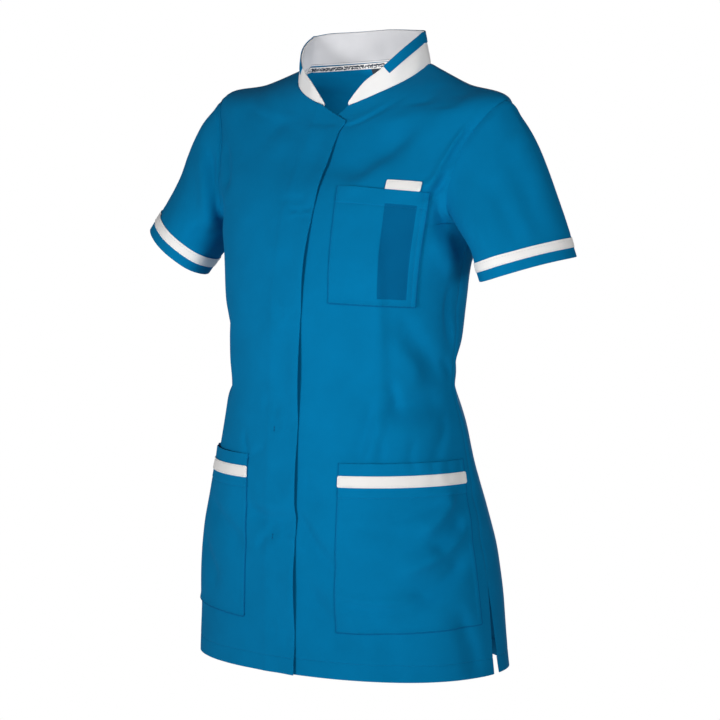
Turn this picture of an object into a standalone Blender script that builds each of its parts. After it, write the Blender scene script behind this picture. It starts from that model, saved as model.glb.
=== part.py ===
"""Women's medical tunic, filled out with no wearer.

Metres, +Z up. The front faces -Y and the wearer's left side is +X. The origin lies midway between
the two neck ends of the shoulder seams. The body of the tunic is one surface, given by level
sections from the hem up to the neckline. Each panel is cut from that surface by its own edges.
A place on it is its distance across from the centre line and its station, the height up the cloth.
"""
import bisect
import math

import bpy
import numpy as np

# ---------------------------------------------------------------- driving sizes
WALL = 0.0012               # thickness of the cloth
COLLAR_WALL = 0.0018        # the collar is two layers with an interlining
BAND_WALL = 0.0010          # white tapes, the collar's trim and the label
SEAM_GAP = 0.0003           # air between two pieces that are sewn together
ARMHOLE_GAP = 0.0005        # the same where a sleeve turns away from its armhole
PATCH_LIFT = 0.0009         # air between a panel and a patch that lies on it

LAP = 0.019                 # how far each front passes the centre front
LAP_RAMP = 0.036            # width over which the upper front rises onto the lower one
LAP_EDGE_SHARE = 0.2        # near the neck, the lap and its ramp are at most this share of a row
NECK_LAP_DROP = 0.060       # how much lower the lapped corner of the neckline is, in stations
VENT_LENGTH = 0.115         # open side slit above the hem
VENT_SPREADS = {"front": 0.0015, "back": 0.006}  # how far its two edges part at the hem
SHOULDER_DROP = 0.0065      # the left shoulder tip sits this much lower, the right one higher
SHOULDER_DROP_FROM = -0.27  # height at which that difference begins
SHOULDER_DROP_FULL = -0.06  # height from which it is whole

ARMHOLE_SKEW = 0.65         # under 1 puts an armhole's deepest place below its middle
ARMHOLE_SCOOPS = {"front": 0.26, "back": 0.18}  # share of a half panel that it cuts away

# ---------------------------------------------------------------- the body's sections
# station is the height above the hem along the side of the cloth. Each section is a ring with one
# curve from the centre front to the side and one from the side to the centre back.
SECTION_COLUMNS = ("station", "half_width", "side_y", "front_y", "back_y",
                   "side_z", "front_z", "back_z", "front_power", "back_power", "dip_power")
SECTIONS = {
    "hem":      (0.0000, 0.212, -0.037, -0.191, 0.097, -0.7560, -0.7535, -0.7560, 2.2, 2.3, 1.5),
    "hip":      (0.1525, 0.199, -0.044, -0.190, 0.082, -0.6000, -0.6000, -0.6000, 2.2, 2.2, 1.5),
    "high_hip": (0.2625, 0.174, -0.042, -0.186, 0.056, -0.4900, -0.4900, -0.4900, 2.2, 1.9, 1.5),
    "waist":    (0.3575, 0.156, -0.045, -0.180, 0.044, -0.3950, -0.3950, -0.3950, 2.2, 1.8, 1.5),
    "midriff":  (0.4375, 0.161, -0.045, -0.177, 0.052, -0.3150, -0.3150, -0.3150, 2.3, 2.0, 1.5),
    "bust":     (0.5175, 0.170, -0.041, -0.166, 0.062, -0.2350, -0.2380, -0.2350, 2.4, 2.1, 1.5),
    "underarm": (0.5525, 0.180, -0.034, -0.157, 0.073, -0.2000, -0.2060, -0.2000, 2.4, 2.3, 1.5),
    "chest":    (0.6100, 0.198, -0.028, -0.141, 0.080, -0.1450, -0.1640, -0.1420, 2.3, 2.4, 1.5),
    "blade":    (0.6650, 0.210, -0.025, -0.115, 0.079, -0.0900, -0.1230, -0.0900, 2.1, 2.2, 1.5),
    "tip":      (0.7100, 0.216, -0.021, -0.098, 0.069, -0.0460, -0.0930, -0.0490, 1.9, 2.0, 1.5),
    "shoulder": (0.7750, 0.152, -0.014, -0.087, 0.055, -0.0270, -0.0770, -0.0225, 2.1, 1.9, 1.4),
    "neck":     (0.8400, 0.091, -0.005, -0.077, 0.043, -0.0025, -0.0600,  0.0045, 2.4, 1.9, 1.3),
}
BODY = {name: [row[i] for row in SECTIONS.values()] for i, name in enumerate(SECTION_COLUMNS)}
HEM = SECTIONS["hem"][0]
UNDERARM = SECTIONS["underarm"][0]
TIP = SECTIONS["tip"][0]
NECK = SECTIONS["neck"][0]

# Rows of points up a panel: below the armhole, beside it, and along the shoulder seam.
SIDE_ROWS = 14
ARMHOLE_ROWS = 10
SHOULDER_ROWS = 4
# Columns of points across one front outside its lap, and across half the back.
FRONT_COLUMNS = 11
BACK_COLUMNS = 10
QUARTER_STEPS = 120         # steps along a quarter ring when its length is measured
NORMAL_STEP = 0.004         # distance over which a direction is measured
MITRE_LIMIT = 0.75          # a mitre is at most 1 / this times as thick as the cloth

# ---------------------------------------------------------------- the sleeves
# out is away from the body and back is toward the back. The hem's centre is where it hangs, its
# slopes tilt the opening, arch lifts the middle of its two broad sides, lean is the way the cloth
# runs down to it, for each metre down, and puff is how squarely it leaves the armhole.
SLEEVE_COLUMNS = ("side", "centre_out", "centre_y", "centre_z",
                  "out_slope", "back_slope", "arch", "lean_out", "lean_back", "puff")
SLEEVES = {
    "sleeve_right": (-1.0, 0.2690, -0.0545, -0.2425, 0.630, -0.170, 0.0000, 0.72, -0.15, 0.12),
    "sleeve_left":  (1.0, 0.2665, -0.0545, -0.2545, 0.216, 0.150, 0.0035, 0.42, 0.00, 0.55),
}
SLEEVE_HEM_LONG = 0.0594        # half the wider way of the opening, front inside to back outside
SLEEVE_HEM_SHORT = 0.0395       # half the narrow way
SLEEVE_HEM_TURN = math.radians(45)
SLEEVE_RISE = 0.60              # share of a sleeve's puff that also lifts it
SLEEVE_ROWS = 6                 # rows of points between the armhole and the tape
TAPE_ABOVE_HEM = 0.013
TAPE_WIDTH = 0.012

# ---------------------------------------------------------------- the collar
# Height of the stand by the distance along the neckline from the collar's front end.
COLLAR_COLUMNS = ("along", "height")
COLLAR_HEIGHTS = {
    "tip":      (0.000, 0.0035),
    "curve":    (0.010, 0.0115),
    "breast":   (0.022, 0.0190),
    "trim_end": (0.043, 0.0250),
    "side":     (0.080, 0.0360),
    "shoulder": (0.110, 0.0390),
    "nape":     (0.190, 0.0395),
}
COLLAR = {name: [row[i] for row in COLLAR_HEIGHTS.values()] for i, name in enumerate(COLLAR_COLUMNS)}
TRIM_START = COLLAR_HEIGHTS["trim_end"][0]
NAPE_HEIGHT = COLLAR_HEIGHTS["nape"][1]
COLLAR_LEAN = 0.010         # how far the top edge leans in at the sides of the neck
TRIM_WIDTH = 0.0125
TRIM_ABOVE = 0.0006         # how far the trim passes the collar's top edge
TRIM_END_SLANT = 0.75       # its ends are cut square to the sloping edge, by this share of a step

# ---------------------------------------------------------------- patches on the fronts
# inner and outer are distances from the centre front, top and bottom are stations at those edges.
# The fronts lap a little off the middle, so the left pocket lies farther out than the right one.
PATCH_COLUMNS = ("side", "inner_top", "outer_top", "inner_bottom", "outer_bottom",
                 "top_inner", "top_outer", "bottom_inner", "bottom_outer")
PATCHES = {
    "chest_pocket": (1.0, 0.046, 0.168, 0.055, 0.164, 0.6180, 0.6000, 0.4550, 0.4500),
    "pocket_left":  (1.0, 0.075, 0.242, 0.073, 0.268, 0.2620, 0.2620, 0.0550, 0.0630),
    "pocket_right": (-1.0, 0.061, 0.228, 0.062, 0.257, 0.2650, 0.2650, 0.0620, 0.0690),
}
# A strip is placed on its pocket: from and to are shares of the pocket's width, top and bottom are
# distances below the pocket's top edge, and lift is the air below it.
STRIP_COLUMNS = ("pocket", "inner_share", "outer_share", "top", "bottom", "lift")
STRIPS = {
    "chest_tab":          ("chest_pocket", 0.53, 0.89, -0.0145, -0.0004, PATCH_LIFT),
    "pocket_strip_left":  ("pocket_left", 0.00, 1.00, 0.0150, 0.0310, 2 * PATCH_LIFT + WALL),
    "pocket_strip_right": ("pocket_right", 0.00, 1.00, 0.0150, 0.0310, 2 * PATCH_LIFT + WALL),
}
PATCH_STEP = 0.018          # about the distance between a patch's points
LABEL_HALF_WIDTH = 0.028
LABEL_STATIONS = (0.788, 0.830)

# ---------------------------------------------------------------- colours, linear
TEAL = (0.0021, 0.1746, 0.3662)
WHITE = (0.78, 0.78, 0.78)
DARK_GREY = (0.045, 0.055, 0.075)


# ---------------------------------------------------------------- curves through the tables
def smooth(knots, values, where):
    """A smooth curve through the values at the knots, read at one place."""
    where = min(max(where, knots[0]), knots[-1])
    i = min(bisect.bisect_right(knots, where) - 1, len(knots) - 2)

    def slope(k):
        if k == 0:
            return (values[1] - values[0]) / (knots[1] - knots[0])
        if k == len(knots) - 1:
            return (values[-1] - values[-2]) / (knots[-1] - knots[-2])
        before = knots[k] - knots[k - 1]
        after = knots[k + 1] - knots[k]
        rise_before = (values[k] - values[k - 1]) / before
        rise_after = (values[k + 1] - values[k]) / after
        return (rise_before * after + rise_after * before) / (before + after)

    span = knots[i + 1] - knots[i]
    t = (where - knots[i]) / span
    start = values[i] * (1 + 2 * t) * (1 - t) ** 2 + span * slope(i) * t * (1 - t) ** 2
    end = values[i + 1] * t * t * (3 - 2 * t) - span * slope(i + 1) * t * t * (1 - t)
    return start + end


def body_size(name, station):
    return smooth(BODY["station"], BODY[name], station)


def unit(vector):
    return vector / np.linalg.norm(vector)


# ---------------------------------------------------------------- the body's surface
QUARTER_ANGLES = np.linspace(0.0, math.pi / 2, QUARTER_STEPS + 1)
quarters = {}


def quarter(half, station):
    """A quarter ring from its centre, front or back, to the side, and the way along it."""
    key = (half, round(station, 7))
    if key not in quarters:
        side_y = body_size("side_y", station)
        side_z = body_size("side_z", station)
        power = body_size(half + "_power", station)
        out = np.sin(QUARTER_ANGLES) ** (2 / power)
        away = np.abs(np.cos(QUARTER_ANGLES)) ** (2 / power)
        away[-1] = 0.0
        x = body_size("half_width", station) * out
        y = side_y + (body_size(half + "_y", station) - side_y) * away
        along = np.concatenate(([0.0], np.cumsum(np.hypot(np.diff(x), np.diff(y)))))
        dip = 1 - (along / along[-1]) ** body_size("dip_power", station)
        z = side_z + (body_size(half + "_z", station) - side_z) * dip
        quarters[key] = (along, x, y, z)
    return quarters[key]


def ring_length(half, station):
    return quarter(half, station)[0][-1]


def body_point(half, across, station):
    along, x, y, z = quarter(half, station)
    distance = abs(across)
    side = -1.0 if across < 0 else 1.0
    return np.array((side * np.interp(distance, along, x),
                     np.interp(distance, along, y),
                     np.interp(distance, along, z)))


def body_normal(half, across, station):
    """Outward direction of the body's surface."""
    limit = ring_length(half, station) - NORMAL_STEP
    across = min(max(across, -limit), limit)
    share = across / ring_length(half, station)
    low = max(station - NORMAL_STEP, HEM)
    high = min(station + NORMAL_STEP, NECK)
    sideways = (body_point(half, across + NORMAL_STEP, station)
                - body_point(half, across - NORMAL_STEP, station))
    upward = (body_point(half, share * ring_length(half, high), high)
              - body_point(half, share * ring_length(half, low), low))
    normal = unit(np.cross(sideways, upward))
    return normal if half == "front" else -normal


def lifted(half, across, station, lift):
    return body_point(half, across, station) + body_normal(half, across, station) * lift


def mirrored(point, side):
    return np.array((side * point[0], point[1], point[2]))


def posed(points):
    """The whole garment leans a little at the shoulders, as it hangs in the photo."""
    points = np.array(points)
    rise = (points[..., 2] - SHOULDER_DROP_FROM) / (SHOULDER_DROP_FULL - SHOULDER_DROP_FROM)
    rise = np.clip(rise, 0.0, 1.0)
    out = points[..., 0] / SECTIONS["tip"][1]
    points[..., 2] -= SHOULDER_DROP * rise * rise * (3 - 2 * rise) * out * np.abs(out)
    return points


# ---------------------------------------------------------------- making pieces
def clear_scene():
    for thing in list(bpy.data.objects):
        bpy.data.objects.remove(thing, do_unlink=True)


def cloth_material(name, colour, roughness):
    material = bpy.data.materials.new(name)
    material.use_nodes = True
    shader = material.node_tree.nodes["Principled BSDF"]
    shader.inputs["Base Color"].default_value = (*colour, 1.0)
    shader.inputs["Roughness"].default_value = roughness
    shader.inputs["Metallic"].default_value = 0.0
    return material


def grid_faces(rows, columns, closed):
    faces = []
    for row in range(rows - 1):
        for column in range(columns if closed else columns - 1):
            beside = (column + 1) % columns
            faces.append((row * columns + column, row * columns + beside,
                          (row + 1) * columns + beside, (row + 1) * columns + column))
    return faces


def signed_volume(mesh):
    mesh.calc_loop_triangles()
    total = 0.0
    for triangle in mesh.loop_triangles:
        a, b, c = (mesh.vertices[i].co for i in triangle.vertices)
        total += a.dot(b.cross(c)) / 6
    return total


def add_piece(name, mesh, material):
    mesh.shade_smooth()
    mesh.set_sharp_from_angle(angle=math.radians(50))
    mesh.materials.append(material)
    piece = bpy.data.objects.new(name, mesh)
    bpy.data.collections["medical_tunic"].objects.link(piece)
    return piece


def wall(name, outer, inner, material, closed=False):
    """A panel whose two faces are lofted through their own grids, so that seams are mitred."""
    outer = posed(outer)
    inner = posed(inner)
    rows, columns = outer.shape[:2]
    below = rows * columns
    faces = []
    for a, b, c, d in grid_faces(rows, columns, closed):
        faces.append((a, b, c, d))
        faces.append((below + d, below + c, below + b, below + a))
    rims = [[row * columns + column for column in range(columns)] + ([row * columns] if closed else [])
            for row in (0, rows - 1)]
    rims[1].reverse()
    if not closed:
        left = [row * columns for row in range(rows)]
        right = [row * columns + columns - 1 for row in range(rows)]
        rims += [list(reversed(left)), right]
    for rim in rims:
        for a, b in zip(rim, rim[1:]):
            faces.append((b, a, below + a, below + b))
    mesh = bpy.data.meshes.new(name)
    mesh.from_pydata(np.concatenate((outer.reshape(-1, 3), inner.reshape(-1, 3))).tolist(), [], faces)
    if signed_volume(mesh) < 0:
        mesh.flip_normals()
    return add_piece(name, mesh, material)


def sheet(name, points, outward, thickness, material, closed=False):
    """A tape or patch: an open surface, thickened outward."""
    points = posed(points)
    rows, columns = points.shape[:2]
    mesh = bpy.data.meshes.new(name)
    mesh.from_pydata(points.reshape(-1, 3).tolist(), [], grid_faces(rows, columns, closed))
    if np.dot(mesh.polygons[0].normal, outward) < 0:
        mesh.flip_normals()
    piece = add_piece(name, mesh, material)
    solidify = piece.modifiers.new("cloth", "SOLIDIFY")
    solidify.thickness = thickness
    solidify.offset = 1.0
    return piece


# ---------------------------------------------------------------- panels
def armhole_stations():
    """Closer together at both ends, where the armhole turns across the body."""
    return [UNDERARM + (TIP - UNDERARM) * (1 - math.cos(math.pi * i / ARMHOLE_ROWS)) / 2
            for i in range(ARMHOLE_ROWS + 1)]


def panel_stations():
    side = [UNDERARM * i / SIDE_ROWS for i in range(SIDE_ROWS)]
    shoulder = [TIP + (NECK - TIP) * i / SHOULDER_ROWS for i in range(1, SHOULDER_ROWS + 1)]
    return side + armhole_stations() + shoulder


def seam_distance(half, station):
    """Distance from the centre line to the side seam, the armhole or the shoulder seam."""
    turn = min(1.0, max(0.0, (station - UNDERARM) / (TIP - UNDERARM))) ** ARMHOLE_SKEW
    cut = ARMHOLE_SCOOPS[half] * math.sqrt(max(0.0, 1 - (2 * turn - 1) ** 2))
    return ring_length(half, station) * (1 - cut)


def panel_edge(half, station):
    spread = VENT_SPREADS[half] * max(0.0, 1 - station / VENT_LENGTH)
    return seam_distance(half, station) - SEAM_GAP / 2 - spread


def front_columns(station):
    """Distances from the centre front of the points across a front, from its lap outward."""
    edge = panel_edge("front", station)
    lap = min(LAP, edge * LAP_EDGE_SHARE)
    ramp = min(LAP_RAMP, edge * LAP_EDGE_SHARE)
    start = lap + ramp
    outside = [start + (edge - start) * i / FRONT_COLUMNS for i in range(FRONT_COLUMNS + 1)]
    return [-lap, 0.0, lap, lap + ramp / 2] + outside


def back_columns(station):
    edge = panel_edge("back", station)
    return [edge * i / BACK_COLUMNS for i in range(-BACK_COLUMNS, BACK_COLUMNS + 1)]


def neckline_station(across, station):
    """Lowers the neckline of a front where it passes the centre front."""
    if station <= TIP or across >= 0:
        return station
    return station - NECK_LAP_DROP * -across / LAP * (station - TIP) / (NECK - TIP)


def lap_rise(across):
    """How far the upper front stands off the body's surface, to lie on the lower front."""
    rise = min(1.0, max(0.0, 1 - (across - LAP) / LAP_RAMP))
    return (WALL + 2 * SEAM_GAP) * rise * rise * (3 - 2 * rise)


def halfway(one, other):
    """The way through the cloth at a seam, shared by the two pieces that meet there."""
    middle = unit(one + other)
    return middle / max(MITRE_LIMIT, np.dot(middle, other))


def wall_direction(half, across, station):
    """The way through the cloth: square to it, but mitred along the seams."""
    if abs(across) < panel_edge(half, station) - SEAM_GAP:
        return body_normal(half, across, station)
    side = math.copysign(1.0, across)
    if UNDERARM - SEAM_GAP < station < TIP + SEAM_GAP:
        sleeve_spec = SLEEVES["sleeve_left" if side > 0 else "sleeve_right"]
        return mirrored(armhole_mitre(half, station, sleeve_spec), side)
    front_normal = body_normal("front", ring_length("front", station), station)
    back_normal = body_normal("back", ring_length("back", station), station)
    return mirrored(halfway(front_normal, back_normal), side)


def front_panel(name, side, upper, material):
    outer = []
    inner = []
    for station in panel_stations():
        outer_row = []
        inner_row = []
        for across in front_columns(station):
            place = neckline_station(across, station)
            lift = lap_rise(across) if upper else 0.0
            point = lifted("front", side * across, place, lift)
            outer_row.append(point)
            inner_row.append(point - wall_direction("front", side * across, place) * WALL)
        outer.append(outer_row)
        inner.append(inner_row)
    return wall(name, outer, inner, material)


def back_panel(name, material):
    outer = []
    inner = []
    for station in panel_stations():
        row = [(across, body_point("back", across, station)) for across in back_columns(station)]
        outer.append([point for across, point in row])
        inner.append([point - wall_direction("back", across, station) * WALL for across, point in row])
    return wall(name, outer, inner, material)


# ---------------------------------------------------------------- sleeves
def armhole_point(half, station):
    return body_point(half, seam_distance(half, station), station)


def armhole_loop():
    """The left armhole from the shoulder tip down the front, under the arm and up the back."""
    stations = armhole_stations()
    return ([("front", station) for station in reversed(stations)]
            + [("back", station) for station in stations[1:-1]])


def sleeve_direction(spec):
    """Down the sleeve at its hem, in the left sleeve's sense."""
    sizes = dict(zip(SLEEVE_COLUMNS, spec))
    return unit(np.array((sizes["lean_out"], sizes["lean_back"], -1.0)))


def leaving_direction(half, station, spec):
    """The way the sleeve's cloth sets off from the armhole."""
    normal = body_normal(half, seam_distance(half, station), station)
    puff = dict(zip(SLEEVE_COLUMNS, spec))["puff"]
    return unit(sleeve_direction(spec) + normal * puff * np.array((1.0, 1.0, SLEEVE_RISE)))


def armhole_mitre(half, station, spec):
    loop = armhole_loop()
    misses = [abs(station - s) + (0 if half == h or s in (UNDERARM, TIP) else 1) for h, s in loop]
    number = misses.index(min(misses))
    before = armhole_point(*loop[number - 1])
    after = armhole_point(*loop[(number + 1) % len(loop)])
    own = unit(np.cross(leaving_direction(half, station, spec), after - before))
    middle = np.mean([armhole_point(*place) for place in loop], axis=0)
    outward = armhole_point(half, station) - middle
    panel = body_normal(half, seam_distance(half, station), station)
    return halfway(own if np.dot(own, outward) > 0 else -own, panel)


def shares_along(points):
    """Share of the way along a line of points, 0 to 1."""
    steps = np.linalg.norm(np.diff(points, axis=0), axis=1)
    along = np.concatenate(([0.0], np.cumsum(steps)))
    return along / along[-1]


def sleeve_hem(spec, shares):
    """Points of a sleeve's hem, from its outer side round by the front, in the left sleeve's sense."""
    sizes = dict(zip(SLEEVE_COLUMNS, spec))
    turns = SLEEVE_HEM_TURN - np.linspace(0.0, 2 * math.pi, 361)
    long_way = SLEEVE_HEM_LONG * np.cos(turns)
    short_way = SLEEVE_HEM_SHORT * np.sin(turns)
    x = long_way * math.cos(SLEEVE_HEM_TURN) - short_way * math.sin(SLEEVE_HEM_TURN)
    y = long_way * math.sin(SLEEVE_HEM_TURN) + short_way * math.cos(SLEEVE_HEM_TURN)
    z = sizes["out_slope"] * x + sizes["back_slope"] * y + sizes["arch"] * np.sin(turns) ** 2
    ring = np.stack((x, y, z), axis=-1)
    outermost = int(np.argmax(x[:-1]))
    ring = np.concatenate((ring[outermost:-1], ring[:outermost + 1]))
    places = shares_along(ring)
    hem = np.stack([np.interp(shares, places, ring[:, i]) for i in range(3)], axis=-1)
    return hem + np.array((sizes["centre_out"], sizes["centre_y"], sizes["centre_z"]))


def sleeve_grid(spec):
    """Points of a sleeve's outside, row by row from the armhole to the hem, in the left's sense."""
    loop = armhole_loop()
    start = np.array([armhole_point(half, station) for half, station in loop])
    leaving = np.array([leaving_direction(half, station, spec) for half, station in loop])
    start += leaving * ARMHOLE_GAP
    front_shares = shares_along(start[:ARMHOLE_ROWS + 1]) / 2
    back_shares = 0.5 + shares_along(np.concatenate((start[ARMHOLE_ROWS:], start[:1]))) / 2
    end = sleeve_hem(spec, np.concatenate((front_shares, back_shares[1:-1])))
    length = np.linalg.norm(end - start, axis=1, keepdims=True)
    tape_top = 1 - (TAPE_ABOVE_HEM + TAPE_WIDTH) / length
    ways = [tape_top * i / SLEEVE_ROWS for i in range(SLEEVE_ROWS + 1)]
    ways += [1 - TAPE_ABOVE_HEM / length, np.ones_like(length)]
    return np.array([start * (1 + 2 * t) * (1 - t) ** 2 + leaving * length * t * (1 - t) ** 2
                     + end * t * t * (3 - 2 * t) - sleeve_direction(spec) * length * t * t * (1 - t)
                     for t in ways])


def tube_normals(rows):
    """Outward directions of a tube given row by row, each row a closed ring."""
    around = np.roll(rows, -1, axis=1) - np.roll(rows, 1, axis=1)
    down = np.gradient(rows, axis=0)
    normals = np.cross(around, down)
    normals /= np.linalg.norm(normals, axis=2, keepdims=True)
    outward = rows - rows.mean(axis=1, keepdims=True)
    if (normals * outward).sum() < 0:
        normals = -normals
    return normals


def sleeve(name, material):
    spec = SLEEVES[name]
    rows = sleeve_grid(spec)
    through = tube_normals(rows)
    for number, (half, station) in enumerate(armhole_loop()):
        through[0][number] = armhole_mitre(half, station, spec)
    flip = np.array((spec[0], 1.0, 1.0))
    return wall(name, rows * flip, (rows - through * WALL) * flip, material, closed=True)


def sleeve_tape(name, sleeve_name, material):
    spec = SLEEVES[sleeve_name]
    rows = sleeve_grid(spec)
    rows = (rows + tube_normals(rows) * SEAM_GAP) * np.array((spec[0], 1.0, 1.0))
    tape = rows[SLEEVE_ROWS:SLEEVE_ROWS + 2]
    return sheet(name, tape, tape[0][0] - tape[0].mean(axis=0), BAND_WALL, material, closed=True)


# ---------------------------------------------------------------- the collar
def collar_columns():
    """Places round the neckline, from the right front's end round the back to the left one's."""
    front = [across for across in front_columns(NECK) if across > 0]
    back = back_columns(NECK)[1:-1]
    right = [("front", -across) for across in front]
    left = [("front", across) for across in reversed(front)]
    return right + [("back", across) for across in back] + left


def collar_along(half, across):
    """Distance along the neckline from the nearer front end of the collar."""
    if half == "front":
        return abs(across) - LAP
    return ring_length("front", NECK) - LAP + ring_length("back", NECK) - abs(across)


def collar_point(half, across, height):
    base = body_point(half, across, NECK)
    side_share = base[0] / SECTIONS["neck"][1]
    lean = COLLAR_LEAN * side_share * height / NAPE_HEIGHT
    return base + np.array((-lean, 0.0, height + SEAM_GAP))


def collar_rows(heights_of):
    rows = []
    for number in range(len(heights_of(NAPE_HEIGHT))):
        row = []
        for half, across in collar_columns():
            height = smooth(COLLAR["along"], COLLAR["height"], collar_along(half, across))
            row.append(collar_point(half, across, heights_of(height)[number]))
        rows.append(row)
    return np.array(rows)


def stand_heights(height):
    return (0.0, max(height - TRIM_WIDTH, height / 2), height)


def band_normals(rows):
    """Outward directions of the collar's stand."""
    along = np.gradient(rows, axis=1)
    up = np.gradient(rows, axis=0)
    normals = np.cross(along, up)
    normals /= np.linalg.norm(normals, axis=2, keepdims=True)
    middle = rows.shape[1] // 2
    if normals[0][middle][1] < 0:
        normals = -normals
    return normals


def collar(name, material):
    rows = collar_rows(stand_heights)
    return wall(name, rows, rows - band_normals(rows) * COLLAR_WALL, material)


def collar_trim(name, material):
    rows = collar_rows(stand_heights)
    rows = rows + band_normals(rows) * SEAM_GAP
    kept = [number for number, (half, across) in enumerate(collar_columns())
            if collar_along(half, across) >= TRIM_START]
    trim = rows[1:, kept[0]:kept[-1] + 1]
    trim[0, 0] += (trim[0, 1] - trim[0, 0]) * TRIM_END_SLANT
    trim[0, -1] += (trim[0, -2] - trim[0, -1]) * TRIM_END_SLANT
    trim[-1, :, 2] += TRIM_ABOVE
    return sheet(name, trim, (trim[0][0][0], 0.0, 0.0), BAND_WALL, material)


# ---------------------------------------------------------------- patches
def patch_place(pocket, share_out, below_top):
    """Across and station of a place on a pocket, by its share outward and metres below the top."""
    spec = dict(zip(PATCH_COLUMNS, PATCHES[pocket]))
    top = spec["top_inner"] + (spec["top_outer"] - spec["top_inner"]) * share_out
    bottom = spec["bottom_inner"] + (spec["bottom_outer"] - spec["bottom_inner"]) * share_out
    down = below_top / (top - bottom)
    inner = spec["inner_top"] + (spec["inner_bottom"] - spec["inner_top"]) * down
    outer = spec["outer_top"] + (spec["outer_bottom"] - spec["outer_top"]) * down
    return spec["side"] * (inner + (outer - inner) * share_out), top - below_top


def patch_rows(pocket, shares, depths_of, lift):
    rows = []
    for number in range(len(depths_of(0.0))):
        row = []
        for share in shares:
            across, station = patch_place(pocket, share, depths_of(share)[number])
            row.append(lifted("front", across, station, lift))
        rows.append(row)
    return rows


def patch_outward(pocket):
    across, station = patch_place(pocket, 0.0, 0.0)
    return body_normal("front", across, station)


def pocket_piece(name, material):
    spec = dict(zip(PATCH_COLUMNS, PATCHES[name]))
    columns = math.ceil((spec["outer_top"] - spec["inner_top"]) / PATCH_STEP)
    rows = math.ceil((spec["top_inner"] - spec["bottom_inner"]) / PATCH_STEP / 1.5)

    def depths(share):
        top = spec["top_inner"] + (spec["top_outer"] - spec["top_inner"]) * share
        bottom = spec["bottom_inner"] + (spec["bottom_outer"] - spec["bottom_inner"]) * share
        return [(top - bottom) * i / rows for i in range(rows + 1)]

    grid = patch_rows(name, np.linspace(0, 1, columns + 1), depths, PATCH_LIFT)
    return sheet(name, grid, patch_outward(name), WALL, material)


def strip_piece(name, material):
    spec = dict(zip(STRIP_COLUMNS, STRIPS[name]))
    pocket = dict(zip(PATCH_COLUMNS, PATCHES[spec["pocket"]]))
    width = (pocket["outer_top"] - pocket["inner_top"]) * (spec["outer_share"] - spec["inner_share"])
    columns = math.ceil(width / PATCH_STEP)
    shares = np.linspace(spec["inner_share"], spec["outer_share"], columns + 1)
    grid = patch_rows(spec["pocket"], shares, lambda share: (spec["top"], spec["bottom"]), spec["lift"])
    return sheet(name, grid, patch_outward(spec["pocket"]), BAND_WALL, material)


def neck_label(name, material):
    depth = WALL + 2 * SEAM_GAP
    rows = [[lifted("back", across, station, -depth)
             for across in np.linspace(-LABEL_HALF_WIDTH, LABEL_HALF_WIDTH, 7)]
            for station in np.linspace(*LABEL_STATIONS, 4)]
    return sheet(name, rows, -body_normal("back", 0.0, LABEL_STATIONS[0]), BAND_WALL, material)


def main():
    clear_scene()
    garment = bpy.data.collections.new("medical_tunic")
    bpy.context.scene.collection.children.link(garment)
    blue = cloth_material("blue_twill", TEAL, 0.85)
    white = cloth_material("white_twill", WHITE, 0.8)
    grey = cloth_material("label_satin", DARK_GREY, 0.6)

    back_panel("back", blue)
    front_panel("front_right", -1.0, True, blue)
    front_panel("front_left", 1.0, False, blue)
    for sleeve_name in SLEEVES:
        sleeve(sleeve_name, blue)
        sleeve_tape(sleeve_name.replace("sleeve", "sleeve_band"), sleeve_name, white)
    collar("collar", white)
    collar_trim("collar_trim", blue)
    for pocket in PATCHES:
        pocket_piece(pocket, blue)
    for strip in STRIPS:
        strip_piece(strip, white)
    neck_label("neck_label", grey)


main()
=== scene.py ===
# Women's medical tunic, filled out with no wearer. Metres, +Z up, its front faces -Y.
import math
import bpy
import numpy as np
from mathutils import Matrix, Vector


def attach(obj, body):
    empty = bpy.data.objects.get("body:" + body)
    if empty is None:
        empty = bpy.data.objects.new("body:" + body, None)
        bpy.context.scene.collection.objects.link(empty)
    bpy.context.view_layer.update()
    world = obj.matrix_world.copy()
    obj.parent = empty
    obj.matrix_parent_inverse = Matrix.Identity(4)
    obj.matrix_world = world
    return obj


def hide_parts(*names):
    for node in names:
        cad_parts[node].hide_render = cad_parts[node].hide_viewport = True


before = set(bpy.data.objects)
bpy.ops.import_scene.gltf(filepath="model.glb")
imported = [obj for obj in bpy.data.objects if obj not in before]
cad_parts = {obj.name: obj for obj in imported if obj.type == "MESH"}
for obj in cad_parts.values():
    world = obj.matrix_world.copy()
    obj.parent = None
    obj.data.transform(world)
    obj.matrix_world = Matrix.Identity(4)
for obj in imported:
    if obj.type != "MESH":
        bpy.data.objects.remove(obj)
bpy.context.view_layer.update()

print("frame loaded")

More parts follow.
